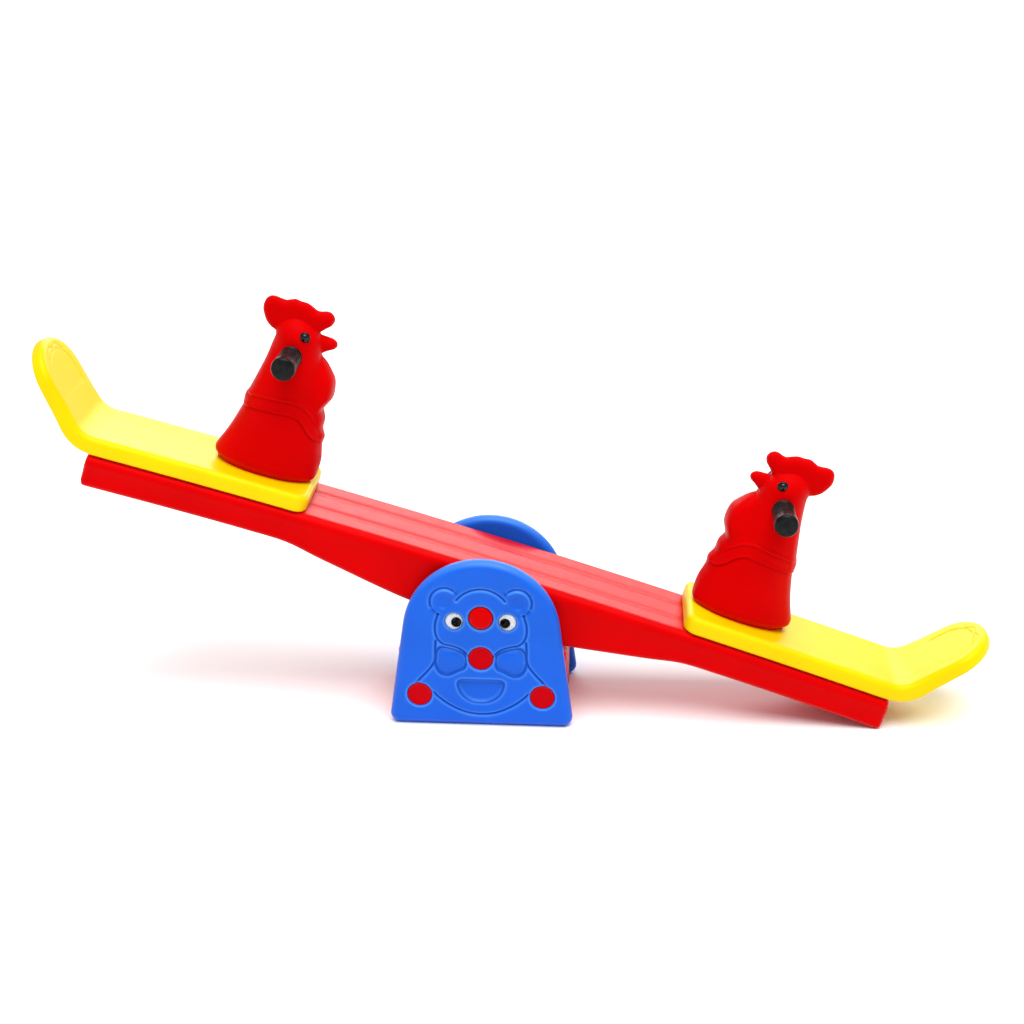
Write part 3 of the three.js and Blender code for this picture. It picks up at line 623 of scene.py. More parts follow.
class SEESAW_OT_panels(Operator):
    """Two side panels with the engraved bear face"""

    bl_idname = "seesaw.panels"
    bl_label = "Side panels"

    ARC = 147.0                  # radius of the round top
    LEAN = 8.0                   # flare of the sides, degrees
    CORNER = 18.0
    INNER_RIM = 14.0             # rounding round the inner face
    LIP = 4.0                    # rounded lip round a well
    LIP_DROP = 2.6
    LATTICE = 2.6
    SPACING = 2.0                # points along the outline and the measured lines
    GUIDE_STEP = 1.3             # points along the lines that the mesh follows
    BESIDE_LINE = (-3.6, -2.4, -1.2, 0, 1.2, 2.4, 3.6)
    BESIDE_POCKET = (-3.9, -2.6, -1.3, 0, 1.3, 2.6, 3.9)
    WELL_RINGS = (-0.1, 0, 0.35, 0.9, 1.7, 2.7, LIP)
    LINE_WIDE = 2.6
    HEAD = ((0, 220), 56)        # middle and radius of the line over the head
    EAR = (67.0, 250.0)
    EAR_ROUND = 22.0
    EAR_LINE = 27.2              # radius of the line round an ear
    EAR_OPENS = (-0.78, -0.63)   # from a right ear towards the head
    CHEEK = [(79, 226), (84.5, 206), (84.5, 188), (80, 175), (70, 165.5), (55, 162), (40, 157), (29, 149),
             (24, 142)]
    FLANK = [(84, 172), (85, 155), (86.5, 130), (98.5, 111), (120, 87)]
    BELLY = [(12, 24.8), (34, 30), (60, 43), (79, 57.5), (89, 68)]
    BOW = [(74, 161), (82, 153), (85, 137), (84, 120), (76, 107), (63, 103), (52, 106.5), (42, 112),
           (31, 117), (27, 126), (26, 137), (31, 147), (42, 154), (57, 159)]
    SMILE = [(0, 95), (22, 95), (37, 94.5), (43.5, 89), (42.5, 79), (37, 66.5), (27, 56.5), (14, 50.5),
             (0, 49)]

    def execute(self, context):
        sizes = context.scene.seesaw_sizes
        self.rim = sizes.panel_rim / MM
        self.carve = sizes.groove_depth / MM
        outline = self.outline()
        plan = filled_plan(outline, RIM_STEPS, self.guides(), self.LATTICE, self.SPACING)
        points = plan[0]
        clear = depth_inside(points, evenly(outline, self.SPACING, closed=True))
        outer = self.face(points, clear)
        inner = PANEL_LOW[1] + rounding(clear, self.INNER_RIM)
        near, far = (np.column_stack([points[:, 0], -high, points[:, 1]]) for high in (outer, inner))
        verts, faces = two_faced(plan, near, far)
        for end, way in ENDS.items():
            panel = add_piece(f"side_panel_{end}", facing(verts, -way), faces, finish_of("blue_plastic"),
                              "blue_plastic", "base", [f"{end}_panel"])
            self.paint_relief_light(panel)
        return {"FINISHED"}

    def outline(self):
        """Flat foot, two small corner arcs, straight flared sides and a round top."""
        lean = math.radians(self.LEAN)
        high = PANEL_HIGH[2] - self.ARC
        reach = self.ARC + high * math.sin(lean)
        corner = (reach - self.CORNER * (1 + math.sin(lean))) / math.cos(lean)
        foot = arc((corner, self.CORNER), self.CORNER, -90, self.LEAN, 9)
        crown = arc((0, high), self.ARC, self.LEAN, 180 - self.LEAN, 60)
        return np.vstack([foot, crown, (foot * [-1, 1])[::-1]])

    def lines(self):
        """The engraved lines: head top, cheeks, flanks and belly, with both sides where they pair."""
        top = arc(*self.HEAD, 37, 143, 30)
        belly = spline(mirrored(self.BELLY), 8, False)
        sides = [spline(line, 8, False) for line in (self.CHEEK, self.FLANK)]
        return [top, belly] + [line * [side, 1] for line in sides for side in (-1, 1)]

    def smile(self):
        right = spline(self.SMILE, 6, False)
        return np.vstack([right, (right * [-1, 1])[::-1][1:-1]])

    def guides(self):
        """Lines that the mesh follows: beside every engraved line and round every well, ear and pocket."""
        made = [beside(evenly(line, self.GUIDE_STEP), offset) for line in self.lines()
                for offset in self.BESIDE_LINE]
        for place, radius, _ in WELLS:
            count = int(radius * 2 * math.pi / 1.1)
            made += [arc(place, radius + wide, 0, 360, count + 1)[:-1] for wide in self.WELL_RINGS]
        for side in (-1, 1):
            centre = (side * self.EAR[0], self.EAR[1])
            made += [arc(centre, radius, 0, 360, 110)[:-1] for radius in np.arange(14, 30, 1.4)]
            made += self.round_pocket(spline(self.BOW, 8, True) * [side, 1])
        return made + self.round_pocket(self.smile())

    def round_pocket(self, loop):
        loop = evenly(loop, self.GUIDE_STEP, closed=True)
        return [beside(loop, offset, closed=True) for offset in self.BESIDE_POCKET]

    def face(self, p, clear):
        """Height of the outer face from the middle of the seesaw: the flat face, less the rim rounding,
        engraved lines and wells, with raised ears, puffed bow lobes and a tilted mouth pocket."""
        high = PANEL_HIGH[1] - rounding(clear, self.rim)
        gaps = np.min([distance(p, evenly(line, self.SPACING)) for line in self.lines()], axis=0)
        high = high - self.carve * groove(gaps, self.LINE_WIDE)
        for side in (-1, 1):
            high = high + self.ear(p * [side, 1]) + self.bow(p * [side, 1])
        high = high + self.mouth(p)
        for place, radius, floor in WELLS:
            r = np.hypot(*(p - place).T)
            lip = np.clip(1 - (r - radius) / self.LIP, 0, 1)
            high = np.where(r < radius + self.LIP, high - self.LIP_DROP * lip**2, high)
            high = np.where(r < radius - 0.05, floor, high)
        return high

    def ear(self, p):
        """Ear: a shallow bowl behind a raised bead with a line round it, open where it meets the head."""
        away = p - self.EAR
        r = np.hypot(*away.T)
        open_side = 1 - step(6, 15, away @ np.array(self.EAR_OPENS))
        bowl = -3.4 * (1 - step(8, self.EAR_ROUND - 5.0, r))
        bead = 1.6 * groove(r - self.EAR_ROUND + 0.5, 5.0)
        line = -self.carve * groove(r - self.EAR_LINE, 3.0)
        return open_side * (bowl + bead + line)

    def bow(self, p):
        """Bow lobe: a cushion that starts below the face at its edge and swells a little above it."""
        inside = depth_inside(p, evenly(spline(self.BOW, 8, True), self.SPACING, closed=True))
        pillow = -5.4 + 7.2 * np.sin(np.clip(inside / 21, 0, 1) * np.pi / 2)
        return np.where(inside > 0, pillow * step(0, 2.4, inside), 0)

    def mouth(self, p):
        """Mouth: a pocket whose floor slopes out from deep under the top edge to shallower at the chin."""
        inside = depth_inside(p, evenly(self.smile(), self.SPACING, closed=True))
        slope = np.clip((p[:, 1] - 49) / 46, 0, 1)
        floor = -(3.6 + 3.4 * slope) * step(0, 3.6, inside)
        return np.where(inside > 0, floor, 0)

    def paint_relief_light(self, panel):
        """Stores painted light on the moulding: painted highlights (lips beside lines and wells, upward rims)
        and painted shade (in lines and at the well edges): bells about the distance from every line and well."""
        spots, normals = (np.empty(3 * len(panel.data.vertices)) for _ in range(2))
        panel.data.vertices.foreach_get("co", spots)
        panel.data.vertices.foreach_get("normal", normals)
        x, y, z = spots.reshape(-1, 3).T / MM
        p = np.column_stack([x, z])
        drawn = self.lines() + [self.smile()]
        for side in (-1, 1):
            centre = (side * self.EAR[0], self.EAR[1])
            drawn += [spline(self.BOW, 8, True) * [side, 1]]
            drawn += [arc(centre, self.EAR_LINE, 90 - side * 110, 90 + side * 35, 50)]
        gap = np.min([distance(p, evenly(line, self.SPACING)) for line in drawn], axis=0)
        # painted highlight on the lip beside each line, painted shade in the line
        painted_light = 0.85 * groove(gap - 3.4, 2.0) - 0.9 * groove(gap, 1.9)
        for place, radius, _ in WELLS:
            r = np.hypot(*(p - place).T) - radius
            # painted highlight on each well's lip, painted shade just inside its edge
            painted_light = np.where(r < 4.5, 1.1 * groove(r - 2.2, 1.9) - groove(r + 0.2, 0.9), painted_light)
        painted_light = np.where(np.abs(y) > PANEL_HIGH[1] - 9, painted_light, 0)
        # painted highlight on upward-facing rims near the top
        painted_light += 0.95 * step(0.2, 0.95, normals[2::3]) * (z > 150)
        # stored as the relief attribute, which the plastic finish reads as painted light
        panel.data.attributes.new("relief", "FLOAT", "POINT").data.foreach_set("value", painted_light)


# ------------------------------------------------------------------ block between the panels
class SEESAW_OT_core(Operator):
    """Ribbed red block between the side panels"""

    bl_idname = "seesaw.core"
    bl_label = "Middle block"

    TOP = [(150, 145), (60, 163)]
    SHOULDER = 138.0
    RIB = 15.0           # from one rib to the next
    RIB_DEEP = 2.2
    EDGE = 5.0

    def execute(self, context):
        half = CORE_HIGH[0]
        corners = [(half, 0), (half, self.SHOULDER)] + self.TOP
        loop = evenly(mirrored(corners[::-1])[::-1], 3.0, closed=True)
        reach = CORE_HIGH[1]
        across = np.linspace(-reach, reach, 181)
        in_y = rounding(reach - np.abs(across), self.EDGE)
        out = -beside(loop, 1.0, closed=True) + loop
        flank = step(half - 10, half - 3, np.abs(loop[:, 0]))
        flank *= step(self.SHOULDER + 4, self.SHOULDER - 8, loop[:, 1])
        ribs = self.RIB_DEEP * (0.5 - 0.5 * np.cos(2 * np.pi * across / self.RIB))
        inset = -(in_y[:, None] + flank * ribs[:, None])
        rows = np.empty((len(across), len(loop), 3))
        rows[:, :, 0] = loop[:, 0] + out[:, 0] * inset
        rows[:, :, 1] = across[:, None]
        rows[:, :, 2] = loop[:, 1] + out[:, 1] * inset
        add_piece("middle_block", *tube_grid(closed_ends(rows)), finish_of("red_plastic"), "red_plastic",
                  "base", ["base_core"])
        return {"FINISHED"}


# ------------------------------------------------------------------ caps and wiggle eyes
PLAY = 0.3           # gap between a snapped-in piece and its well


def curved(points):
    """A profile with soft corners: a smooth line through its points."""
    return spline(points, 6, False)


class SEESAW_OT_caps(Operator):
    """Snap-in caps over the axle and tie bolts"""

    bl_idname = "seesaw.caps"
    bl_label = "Caps"

    ROUND = 96
    RADIUS = CAP_WELL - PLAY
    WALL = 2.5
    # Outer faces from the middle out, radius and distance, then the face behind each.
    FLAT_TOP = [(0, 131.4), (8, 131.4), (17, 131.5), (19.6, 131.9), (21.0, 132.5), (22.1, 132.4),
                (RADIUS, 131.4)]
    FLAT_BACK = [(0, 129.5), (RADIUS - WALL, 129.5)]
    NOSE_TOP = [(0, 137.0), (8, 136.9), (14.5, 136.5), (17.8, 135.8), (20.2, 134.5), (22.0, 132.6),
                (RADIUS, 130.6)]
    NOSE_BACK = [(0, 132.6), (13, 132.2), (RADIUS - WALL, 129.8)]

    def execute(self, context):
        for end, way in ENDS.items():
            self.add_cap(f"bear_nose_{end}", self.NOSE_TOP, self.NOSE_BACK, way, f"nose_cap_{end}",
                         "red_plastic")
            for name in TIES:
                self.add_cap(f"{name}_cap_{end}", self.FLAT_TOP, self.FLAT_BACK, way, f"cap_{name}_{end}",
                             "cap_plastic")
        return {"FINISHED"}

    def add_cap(self, name, top, back, way, node, finish):
        foot = CAP_WELL_FLOOR + PLAY
        skirt = [(self.RADIUS - self.WALL, foot), (self.RADIUS, foot)]
        verts, faces = turned(np.vstack([back, skirt, curved(top)[::-1]]), self.ROUND)
        x, _, z = middle(node)
        add_piece(name, facing(verts, way) + [x, 0, z], faces, finish_of(finish), "cap_plastic", "base",
                  [node])


class SEESAW_OT_bear_eyes(Operator):
    """Wiggle eyes of the bear: white card, loose pupil and clear dome"""

    bl_idname = "seesaw.bear_eyes"
    bl_label = "Bear eyes"

    ROUND = 72
    RADIUS = EYE_WELL - PLAY
    PUPIL = 9.6
    DOME_FOOT = 1.8
    # Profiles, radius and distance from the eye's back (card) or from the dome's foot (dome and pupil).
    CARD = [(0, 0), (RADIUS - 0.4, 0), (RADIUS, 0.4), (RADIUS, 1.1), (RADIUS - 0.4, 1.5), (0, 1.5)]
    DOME_OVER = [(0, 8.4), (4.5, 8.1), (9, 6.9), (12.6, 5.0), (15.2, 2.4), (RADIUS, 0)]
    DOME_UNDER = [(RADIUS - 1.2, 0), (RADIUS - 1.7, 1.9), (11.8, 4.2), (8.5, 5.9), (4.5, 7.0), (0, 7.3)]
    DISC = [(0, 0.2), (PUPIL - 0.4, 0.2), (PUPIL, 0.6), (PUPIL, 1.3), (PUPIL - 0.5, 1.75), (PUPIL - 3, 1.9),
            (0, 1.95)]

    def execute(self, context):
        back = EYE_WELL_FLOOR + PLAY
        foot = back + self.DOME_FOOT
        card = np.array(self.CARD) + [0, back]
        disc = np.array(self.DISC) + [0, foot]
        dome = np.vstack([curved(self.DOME_UNDER)[::-1], curved(self.DOME_OVER)[::-1]]) + [0, foot]
        for end, way in ENDS.items():
            for side in SIDES:
                at = f"{side}_{end}"
                self.add_round(f"eye_card_{at}", card, f"eye_cup_{at}", way, "eye_white", "base")
                self.add_round(f"eye_pupil_{at}", disc, f"pupil_{at}", way, "pupil_black", f"pupil_{at}_disc")
                self.add_round(f"eye_cover_{at}", dome, f"eye_dome_{at}", way, "clear_dome", "base")
        return {"FINISHED"}

    def add_round(self, name, profile, node, way, kind, body):
        verts, faces = turned(profile, self.ROUND)
        x, _, z = middle(node)
        add_piece(name, facing(verts, way) + [x, 0, z], faces, finish_of(kind), kind, body, [node])


# ------------------------------------------------------------------ beam
BEAM_HALF = 778.5
BEAM_WIDE = 100.0
BEAM_CROWN = 81.0
BEAM_ARCH = 20000.0
SEAT_THICK = 33.3
BEAM_UNDER = [(0, -30), (60, -29), (130, -24.5), (180, -19), (250, -8), (320, 3.5), (386, 15), (460, 15),
              (550, 12.8), (650, 9.3), (778, 4.0)]


def beam_top(u):
    return BEAM_CROWN - u * u / (2 * BEAM_ARCH)


def seat_top(u):
    return beam_top(u) + SEAT_THICK


class SEESAW_OT_beam(Operator):
    """Hollow rocking beam"""

    bl_idname = "seesaw.beam"
    bl_label = "Beam"

    END_ROUND = 8.0
    BOTTOM_ROUND = 9.0
    FLUTES = (-36.0, 36.0)       # shallow grooves along the top
    FLUTE_DEEP = 1.9
    FLUTE_WIDE = 9.0
    SIDE_DISH = 1.2              # how far the sides draw in between their edges
    SECTIONS = 321

    def execute(self, context):
        shoulder = context.scene.seesaw_sizes.beam_shoulder / MM
        turn = np.linspace(0, np.pi / 2, 7)[:-1]
        ends = self.END_ROUND * (1 - np.cos(turn))
        inner = np.linspace(-BEAM_HALF + self.END_ROUND, BEAM_HALF - self.END_ROUND, self.SECTIONS)
        along = np.concatenate([-BEAM_HALF + ends, inner, (BEAM_HALF - ends)[::-1]])
        less = self.END_ROUND * (1 - np.sin(turn))
        shrink = np.concatenate([less, np.zeros(self.SECTIONS), less[::-1]])
        rows = np.stack([self.section(u, inset, shoulder) for u, inset in zip(along, shrink)])
        verts, faces = tube_grid(closed_ends(rows))
        add_piece("rocking_beam", on_beam(verts), faces, finish_of("red_plastic"), "red_plastic", "beam",
                  ["beam_shell"])
        return {"FINISHED"}

    def section(self, u, inset, shoulder):
        """One section: a box with quarter-circle corners, its top arched with flutes, its sides dished."""
        under = spline(BEAM_UNDER, 8, False)
        low = np.interp(abs(u), under[:, 0], under[:, 1]) + inset
        high = beam_top(u) - inset
        half = BEAM_WIDE - inset
        top = arc((half - shoulder, high - shoulder), shoulder, 0, 90, 9)
        base = arc((half - self.BOTTOM_ROUND, low + self.BOTTOM_ROUND), self.BOTTOM_ROUND, -90, 0, 6)
        flat = np.linspace(half - shoulder, 0, 34)[1:]
        dent = sum(groove(flat - flute, self.FLUTE_WIDE) for flute in self.FLUTES)
        lid = np.column_stack([flat, high - self.FLUTE_DEEP * dent])
        rise = np.linspace(0, 1, 10)[1:-1]
        side = np.column_stack([half - self.SIDE_DISH * np.sin(np.pi * rise) ** 0.7,
                                base[-1, 1] + rise * (top[0, 1] - base[-1, 1])])
        floor = np.column_stack([np.linspace(0, half - self.BOTTOM_ROUND, 8)[:-1], np.full(7, low)])
        right = np.vstack([floor, base, side, top, lid])
        ring = np.vstack([right, (right * [-1, 1])[::-1][1:-1]])
        return np.column_stack([np.full(len(ring), u), ring])


# ------------------------------------------------------------------ seats
class SEESAW_OT_seats(Operator):
    """Two yellow seats with leaning backs"""

    bl_idname = "seesaw.seats"
    bl_label = "Seats"

    INNER = 367.0        # where the plate starts along the beam
    FOLD = 796.0         # where the plate's top would meet the back's face
    LEAN = 47.0          # how far the back turns up from the plate, degrees
    BACK = 176.0         # fold to tip
    BEND = 25.0          # how far before and after the fold the line is curved
    PLATE_HALF = 97.0
    BACK_HALF = 88.0
    CORNER = 24.0
    TIP = 76.0           # length of the rounded tip
    TIP_POWER = 2.1
    PLATE_THICK = 33.0
    BACK_THICK = 25.0
    UNDER_EDGE = 6.0
    LATTICE = 4.0
    SPACING = 3.0
    ARCH_HALF = 56.0     # relief on the back: half width, then its start, turn and end from the fold
    ARCH_FROM = 66.0
    ARCH_TURN = 104.0
    ARCH_TOP = 150.0
    BESIDE_ARCH = (-4.5, -3, -1.5, 0, 1.5, 3, 4.5, 6.5, 8.5, 10.5)

    def execute(self, context):
        self.edge = context.scene.seesaw_sizes.seat_edge / MM
        self.line = self.top_line()
        self.run = np.concatenate([[0], np.cumsum(np.linalg.norm(np.diff(self.line, axis=0), axis=1))])
        self.long = self.run[-1]
        self.fold = self.long - self.BACK
        outline = self.outline()
        plan = filled_plan(outline, RIM_STEPS, self.guides(), self.LATTICE, self.SPACING)
        rim = evenly(outline, self.SPACING, closed=True)
        points = plan[0]
        inside = np.maximum(depth_inside(points, rim), 0)
        inside[:plan[2]] = 0
        lower = -self.thick(points[:, 0]) + rounding(inside, self.UNDER_EDGE)
        near = self.bent(points, self.upper(points, inside))
        verts, faces = two_faced(plan, near, self.bent(points, lower))
        for side, way in SIDES.items():
            add_piece(f"moulded_seat_{side}", on_beam(verts, way), faces, finish_of("yellow_plastic"),
                      "yellow_plastic", "beam", [f"seat_{side}"])
        return {"FINISHED"}

    def top_line(self):
        """Side view of the top: along the beam's arch, a curved fold, then straight up the back."""
        plate = np.linspace(self.INNER, self.FOLD - self.BEND, 60)
        fold = np.array([self.FOLD, seat_top(self.FOLD)])
        back, tip = (arc(fold, run, self.LEAN, self.LEAN, 1)[0] for run in (self.BEND, self.BACK))
        start = np.array([plate[-1], seat_top(plate[-1])])
        t = np.linspace(0, 1, 25)[1:, None]
        bend = (1 - t) ** 2 * start + 2 * t * (1 - t) * fold + t**2 * back
        rest = back + np.linspace(0, 1, 30)[1:, None] * (tip - back)
        return np.vstack([np.column_stack([plate, seat_top(plate)]), bend, rest])

    def outline(self):
        """Flat outline, length along and half width across: round corners, a slight waist, a round tip."""
        corner = arc((self.CORNER, self.PLATE_HALF - self.CORNER), self.CORNER, 180, 90, 10)
        along = np.linspace(self.CORNER, self.long - self.TIP, 60)[1:]
        narrow = step(self.fold - 40, self.fold + 60, along)
        side = np.column_stack([along, self.PLATE_HALF - (self.PLATE_HALF - self.BACK_HALF) * narrow])
        turn = np.linspace(np.pi / 2, 0, 40)[1:]
        power = 2 / self.TIP_POWER
        tip = np.column_stack([self.long - self.TIP + self.TIP * np.abs(np.cos(turn)) ** power,
                               self.BACK_HALF * np.abs(np.sin(turn)) ** power])
        upper = np.vstack([corner, side, tip])
        return np.vstack([upper[:-1], (upper * [1, -1])[::-1]])[::-1]

    def arch(self):
        """The relief's line: up one side of the back, round under the tip and down the other side."""
        side = [(self.fold + self.ARCH_FROM, self.ARCH_HALF - 2), (self.fold + 90, self.ARCH_HALF)]
        round_part = arc((0, 0), 1.0, 90, -90, 40) * [self.ARCH_TOP - self.ARCH_TURN, self.ARCH_HALF]
        round_part += [self.fold + self.ARCH_TURN, 0]
        return np.vstack([side, round_part, (np.array(side) * [1, -1])[::-1]])

    def guides(self):
        line = evenly(self.arch(), 1.6)
        along = np.linspace(self.fold - 60, self.fold + 60, 41)
        across = np.linspace(-self.PLATE_HALF + 18, self.PLATE_HALF - 18, 60)
        bend = np.stack(np.meshgrid(along, across), axis=-1).reshape(-1, 2)
        return [beside(line, offset) for offset in self.BESIDE_ARCH] + [bend]

    def upper(self, p, inside):
        """Top face: level with the line, rounded at the rim, very slightly hollow, with the relief."""
        hollow = 1.8 * step(10, 70, inside)
        return -rounding(inside, self.edge) - hollow - self.relief(p)

    def relief(self, p):
        """An arched line of small nicks, its inside a touch lower, with scallops outside it at the tip."""
        line = evenly(self.arch(), 2.0)
        gap = distance(p, line)
        inside = depth_inside(p, line)
        turn = np.arctan2(p[:, 1], p[:, 0] - self.fold - 60)
        nicks = 0.45 + 0.55 * np.abs(np.sin(11 * turn)) ** 0.7
        scallop = np.abs(np.sin(7.5 * turn)) * 7.0 + 3.0
        tip = step(0.62, 0.42, np.abs(turn))
        curl = groove(gap - scallop, 1.5) * tip * (inside < 0)
        panel = step(0.5, 3.0, inside) * 0.7
        fade = step(self.ARCH_FROM - 8, self.ARCH_FROM + 12, p[:, 0] - self.fold)
        return fade * (1.8 * nicks * groove(gap, 2.3) + 1.6 * curl + panel)

    def thick(self, along):
        share = np.clip((along - self.fold) / self.BACK, 0, 1)
        return self.PLATE_THICK + (self.BACK_THICK - self.PLATE_THICK) * share

    def bent(self, p, up):
        """Bends the flat slab: each point is carried to the line and set off along the line's normal."""
        slope = np.gradient(self.line, self.run, axis=0)
        slope /= np.linalg.norm(slope, axis=1)[:, None]
        at = [np.interp(p[:, 0], self.run, self.line[:, k]) for k in range(2)]
        way = [np.interp(p[:, 0], self.run, slope[:, k]) for k in range(2)]
        size = np.hypot(*way)
        return np.column_stack([at[0] - up * way[1] / size, p[:, 1], at[1] + up * way[0] / size])


# ------------------------------------------------------------------ roosters
class SEESAW_OT_roosters(Operator):
    """Two rooster posts with comb, beak, wattle and scarf"""

    bl_idname = "seesaw.roosters"
    bl_label = "Roosters"

    # Side outline, along the beam and up from the pivot: base back to front, then the front up to the comb.
    FOOT = [(548, 104), (470, 107.5), (392, 109)]
    FRONT = [(378, 113), (371, 124), (369.5, 148), (370.5, 163), (374, 178), (376, 190), (375, 203),
             (380, 213), (382.5, 221), (383, 236), (388, 247), (391, 254), (386, 266), (380, 280), (380, 297),
             (384, 313), (393, 326), (404, 339), (414, 348), (421.5, 354)]
    BEAK = [(411, 363.5), (401.5, 369.5), (397.5, 377), (400, 384), (408, 388.5), (421, 389.5), (434, 391)]
    COMB = [(427, 400.5), (418, 409.5), (414, 420), (417, 429), (425, 434.5), (433, 434.5), (442, 431.5),
            (450, 431), (459, 435), (470, 438.5), (482, 438.5), (493, 439.5), (502, 436), (509, 433),
            (518, 433), (528, 434), (537, 432.5), (544, 426), (547, 416), (546.5, 405), (541, 393),
            (534, 383), (524, 375.5), (512.5, 369)]
    BACK = [(514.5, 348), (518, 321), (523.5, 294), (530.5, 263), (533.5, 251), (537, 243), (538, 232),
            (536.5, 221), (541, 203), (548, 178), (556.5, 154), (563.5, 137), (567, 124), (560, 112)]
    # Round neck: height, front, back and half width.
    NECK = [(98, 384, 546, 44), (106, 380, 551, 45), (111, 376.5, 556, 46.5), (115, 373, 561, 49),
            (118, 371, 564, 51.5), (121, 369.5, 566, 53.5), (127, 369.5, 566, 55), (139, 371, 563, 55),
            (157, 373, 556, 55), (179, 377, 547.5, 54.5), (204, 384, 540.5, 53.5), (230, 394, 535, 52.5),
            (250, 402, 532.5, 51.5), (265, 409, 529, 50.5), (280, 413, 526.5, 50), (300, 414, 522.5, 49),
            (325, 415, 517.5, 47), (345, 418, 514.5, 45), (362, 422, 513, 43.5), (377, 425, 512.5, 41),
            (390, 434, 508, 34), (399, 446, 500, 25), (405, 460, 490, 14), (408, 473, 478, 3)]
    # Flat plate of comb, beak and wattle: height and half thickness, for a comb 25 mm thick.
    FLANGE = [(98, 15), (180, 19), (225, 27), (262, 34), (295, 34), (320, 29), (342, 20), (358, 12.5),
              (450, 12.5)]
    SCARF_UPPER = [(545, 248), (534, 251), (508, 257), (472, 263.5), (445, 265.5), (424, 259), (405, 242),
                   (392, 226), (376, 213)]
    SCARF_LOWER = [(545, 224), (535, 227), (500, 235), (465, 240), (438, 240.5), (420, 230), (405, 212),
                   (390, 200), (372, 198)]
    BESIDE_SCARF = (-6, -4.5, -3, -1.5, 0, 1.5, 3, 4.5, 6)
    EDGE_STEPS = (0.2, 0.7, 1.5, 2.6, 4.1, 6.0, 8.4, 11.0)
    NECK_POWER = 3.4     # how sharply neck and plate join
    PLATE_EDGE = 15.0    # width of the plate's rounded edge
    LATTICE = 2.6
    SPACING = 1.8

    def execute(self, context):
        sizes = context.scene.seesaw_sizes
        self.plate = sizes.comb_thickness / 2 / MM
        self.ridge = sizes.scarf_ridge / MM
        outline = self.outline()
        plan = filled_plan(outline, self.EDGE_STEPS, self.guides(), self.LATTICE, self.SPACING)
        points = plan[0]
        half = self.half_thickness(points, outline, plan[2])
        near = np.column_stack([points[:, 0], -half, points[:, 1]])
        verts, faces = two_faced(plan, near, near * [1, -1, 1])
        for side, way in SIDES.items():
            add_piece(f"rooster_post_{side}", on_beam(verts, way), faces, finish_of("rooster_plastic"),
                      "red_plastic", "beam", [f"rooster_{side}"], crease=55)
        return {"FINISHED"}

    def outline(self):
        return spline((self.FOOT + self.FRONT + self.BEAK + self.COMB + self.BACK)[::-1], 6, True)

    def guides(self):
        made = []
        for line in (self.SCARF_UPPER, self.SCARF_LOWER):
            line = evenly(spline(line, 6, False), 1.5)
            made += [beside(line, offset) for offset in self.BESIDE_SCARF]
        return made

    def half_thickness(self, p, outline, rim):
        """Half thickness across: the round neck, an ellipse at every height, joined softly to a flat plate
        whose edge is rounded. They come to nothing at the outline, but the foot keeps the neck's width."""
        loop = evenly(outline, self.SPACING, closed=True)
        inside = np.maximum(depth_inside(p, loop), 0)
        inside[:rim] = 0
        neck = self.neck(p)
        flange = spline(self.FLANGE, 6, False)
        thick = np.interp(p[:, 1], flange[:, 0], flange[:, 1]) * self.plate / 12.5
        share = np.clip(inside / self.PLATE_EDGE, 0, 1)
        plate = thick * np.sqrt(np.clip(1 - (1 - share) ** 2, 0, 1))
        power = self.NECK_POWER
        both = (neck**power + plate**power) ** (1 / power)
        clear = distance(p, loop[loop[:, 1] > 112])
        soft = np.sqrt(np.clip(1 - (1 - np.clip(clear / 3.0, 0, 1)) ** 2, 0, 1))
        return both * soft

    def neck(self, p):
        rows = spline(self.NECK, 8, False)
        front, back, half = (np.interp(p[:, 1], rows[:, 0], rows[:, k]) for k in (1, 2, 3))
        proud = self.scarf(p)
        reach = (back - front) / 2 + proud
        across = (p[:, 0] - (front + back) / 2) / reach
        return (half + proud) * np.sqrt(np.clip(1 - across**2, 0, 1)) * (p[:, 1] < 408)

    def scarf(self, p):
        """Scarf: a band a touch proud of the neck, with a rounded ridge and a fine line below it along both
        its edges."""
        edges = [spline(line, 6, False) for line in (self.SCARF_UPPER, self.SCARF_LOWER)]
        band = depth_inside(p, np.vstack([edges[0], edges[1][::-1]]))
        ridges = sum(groove(distance(p, edge), 2.1) for edge in edges)
        ridges -= 0.6 * sum(groove(distance(p, edge - [0, 4]), 2.0) for edge in edges)
        return self.ridge * ridges + step(-1.5, 1.5, band)


# ------------------------------------------------------------------ handles and the roosters' eyes
class SEESAW_OT_grips(Operator):
    """Four ribbed rubber grips"""

    bl_idname = "seesaw.grips"
    bl_label = "Grips"

    ROUND = 96
    RIBS = 4
    RIBS_FROM = 52.0
    RIBS_TO = 100.0
    # Profiles, radius and distance along the bar from the middle of the beam.
    BORE = [(0, 128), (13, 128), (13, 42)]
    COLLAR = [(19.0, 42), (20.6, 46.0), (20.8, 49.0), (19.0, 51.0)]
    KNOB = [(19.0, 101), (20.6, 102.6), (21.4, 106), (21.9, 112), (22.2, 120), (22.2, 125), (21.2, 129.4),
            (18.4, 132.4), (14, 133.6), (7, 134.2), (0, 134.3)]

    def execute(self, context):
        share = np.linspace(0, 1, 150)
        along = self.RIBS_FROM + share * (self.RIBS_TO - self.RIBS_FROM)
        ribs = np.column_stack([17.8 + 2.6 * np.abs(np.sin(np.pi * self.RIBS * share)) ** 0.7, along])
        profile = np.vstack([self.BORE, curved(self.COLLAR), ribs, curved(self.KNOB)])
        verts, faces = turned(profile, self.ROUND)
        for side in SIDES:
            bar = middle(f"handlebar_{side}")
            for end, way in ENDS.items():
                add_piece(f"rubber_grip_{side}_{end}", facing(verts, way) + bar, faces,
                          finish_of("grip_rubber"), "grip_rubber", "beam", [f"grip_{side}_{end}"])
        return {"FINISHED"}


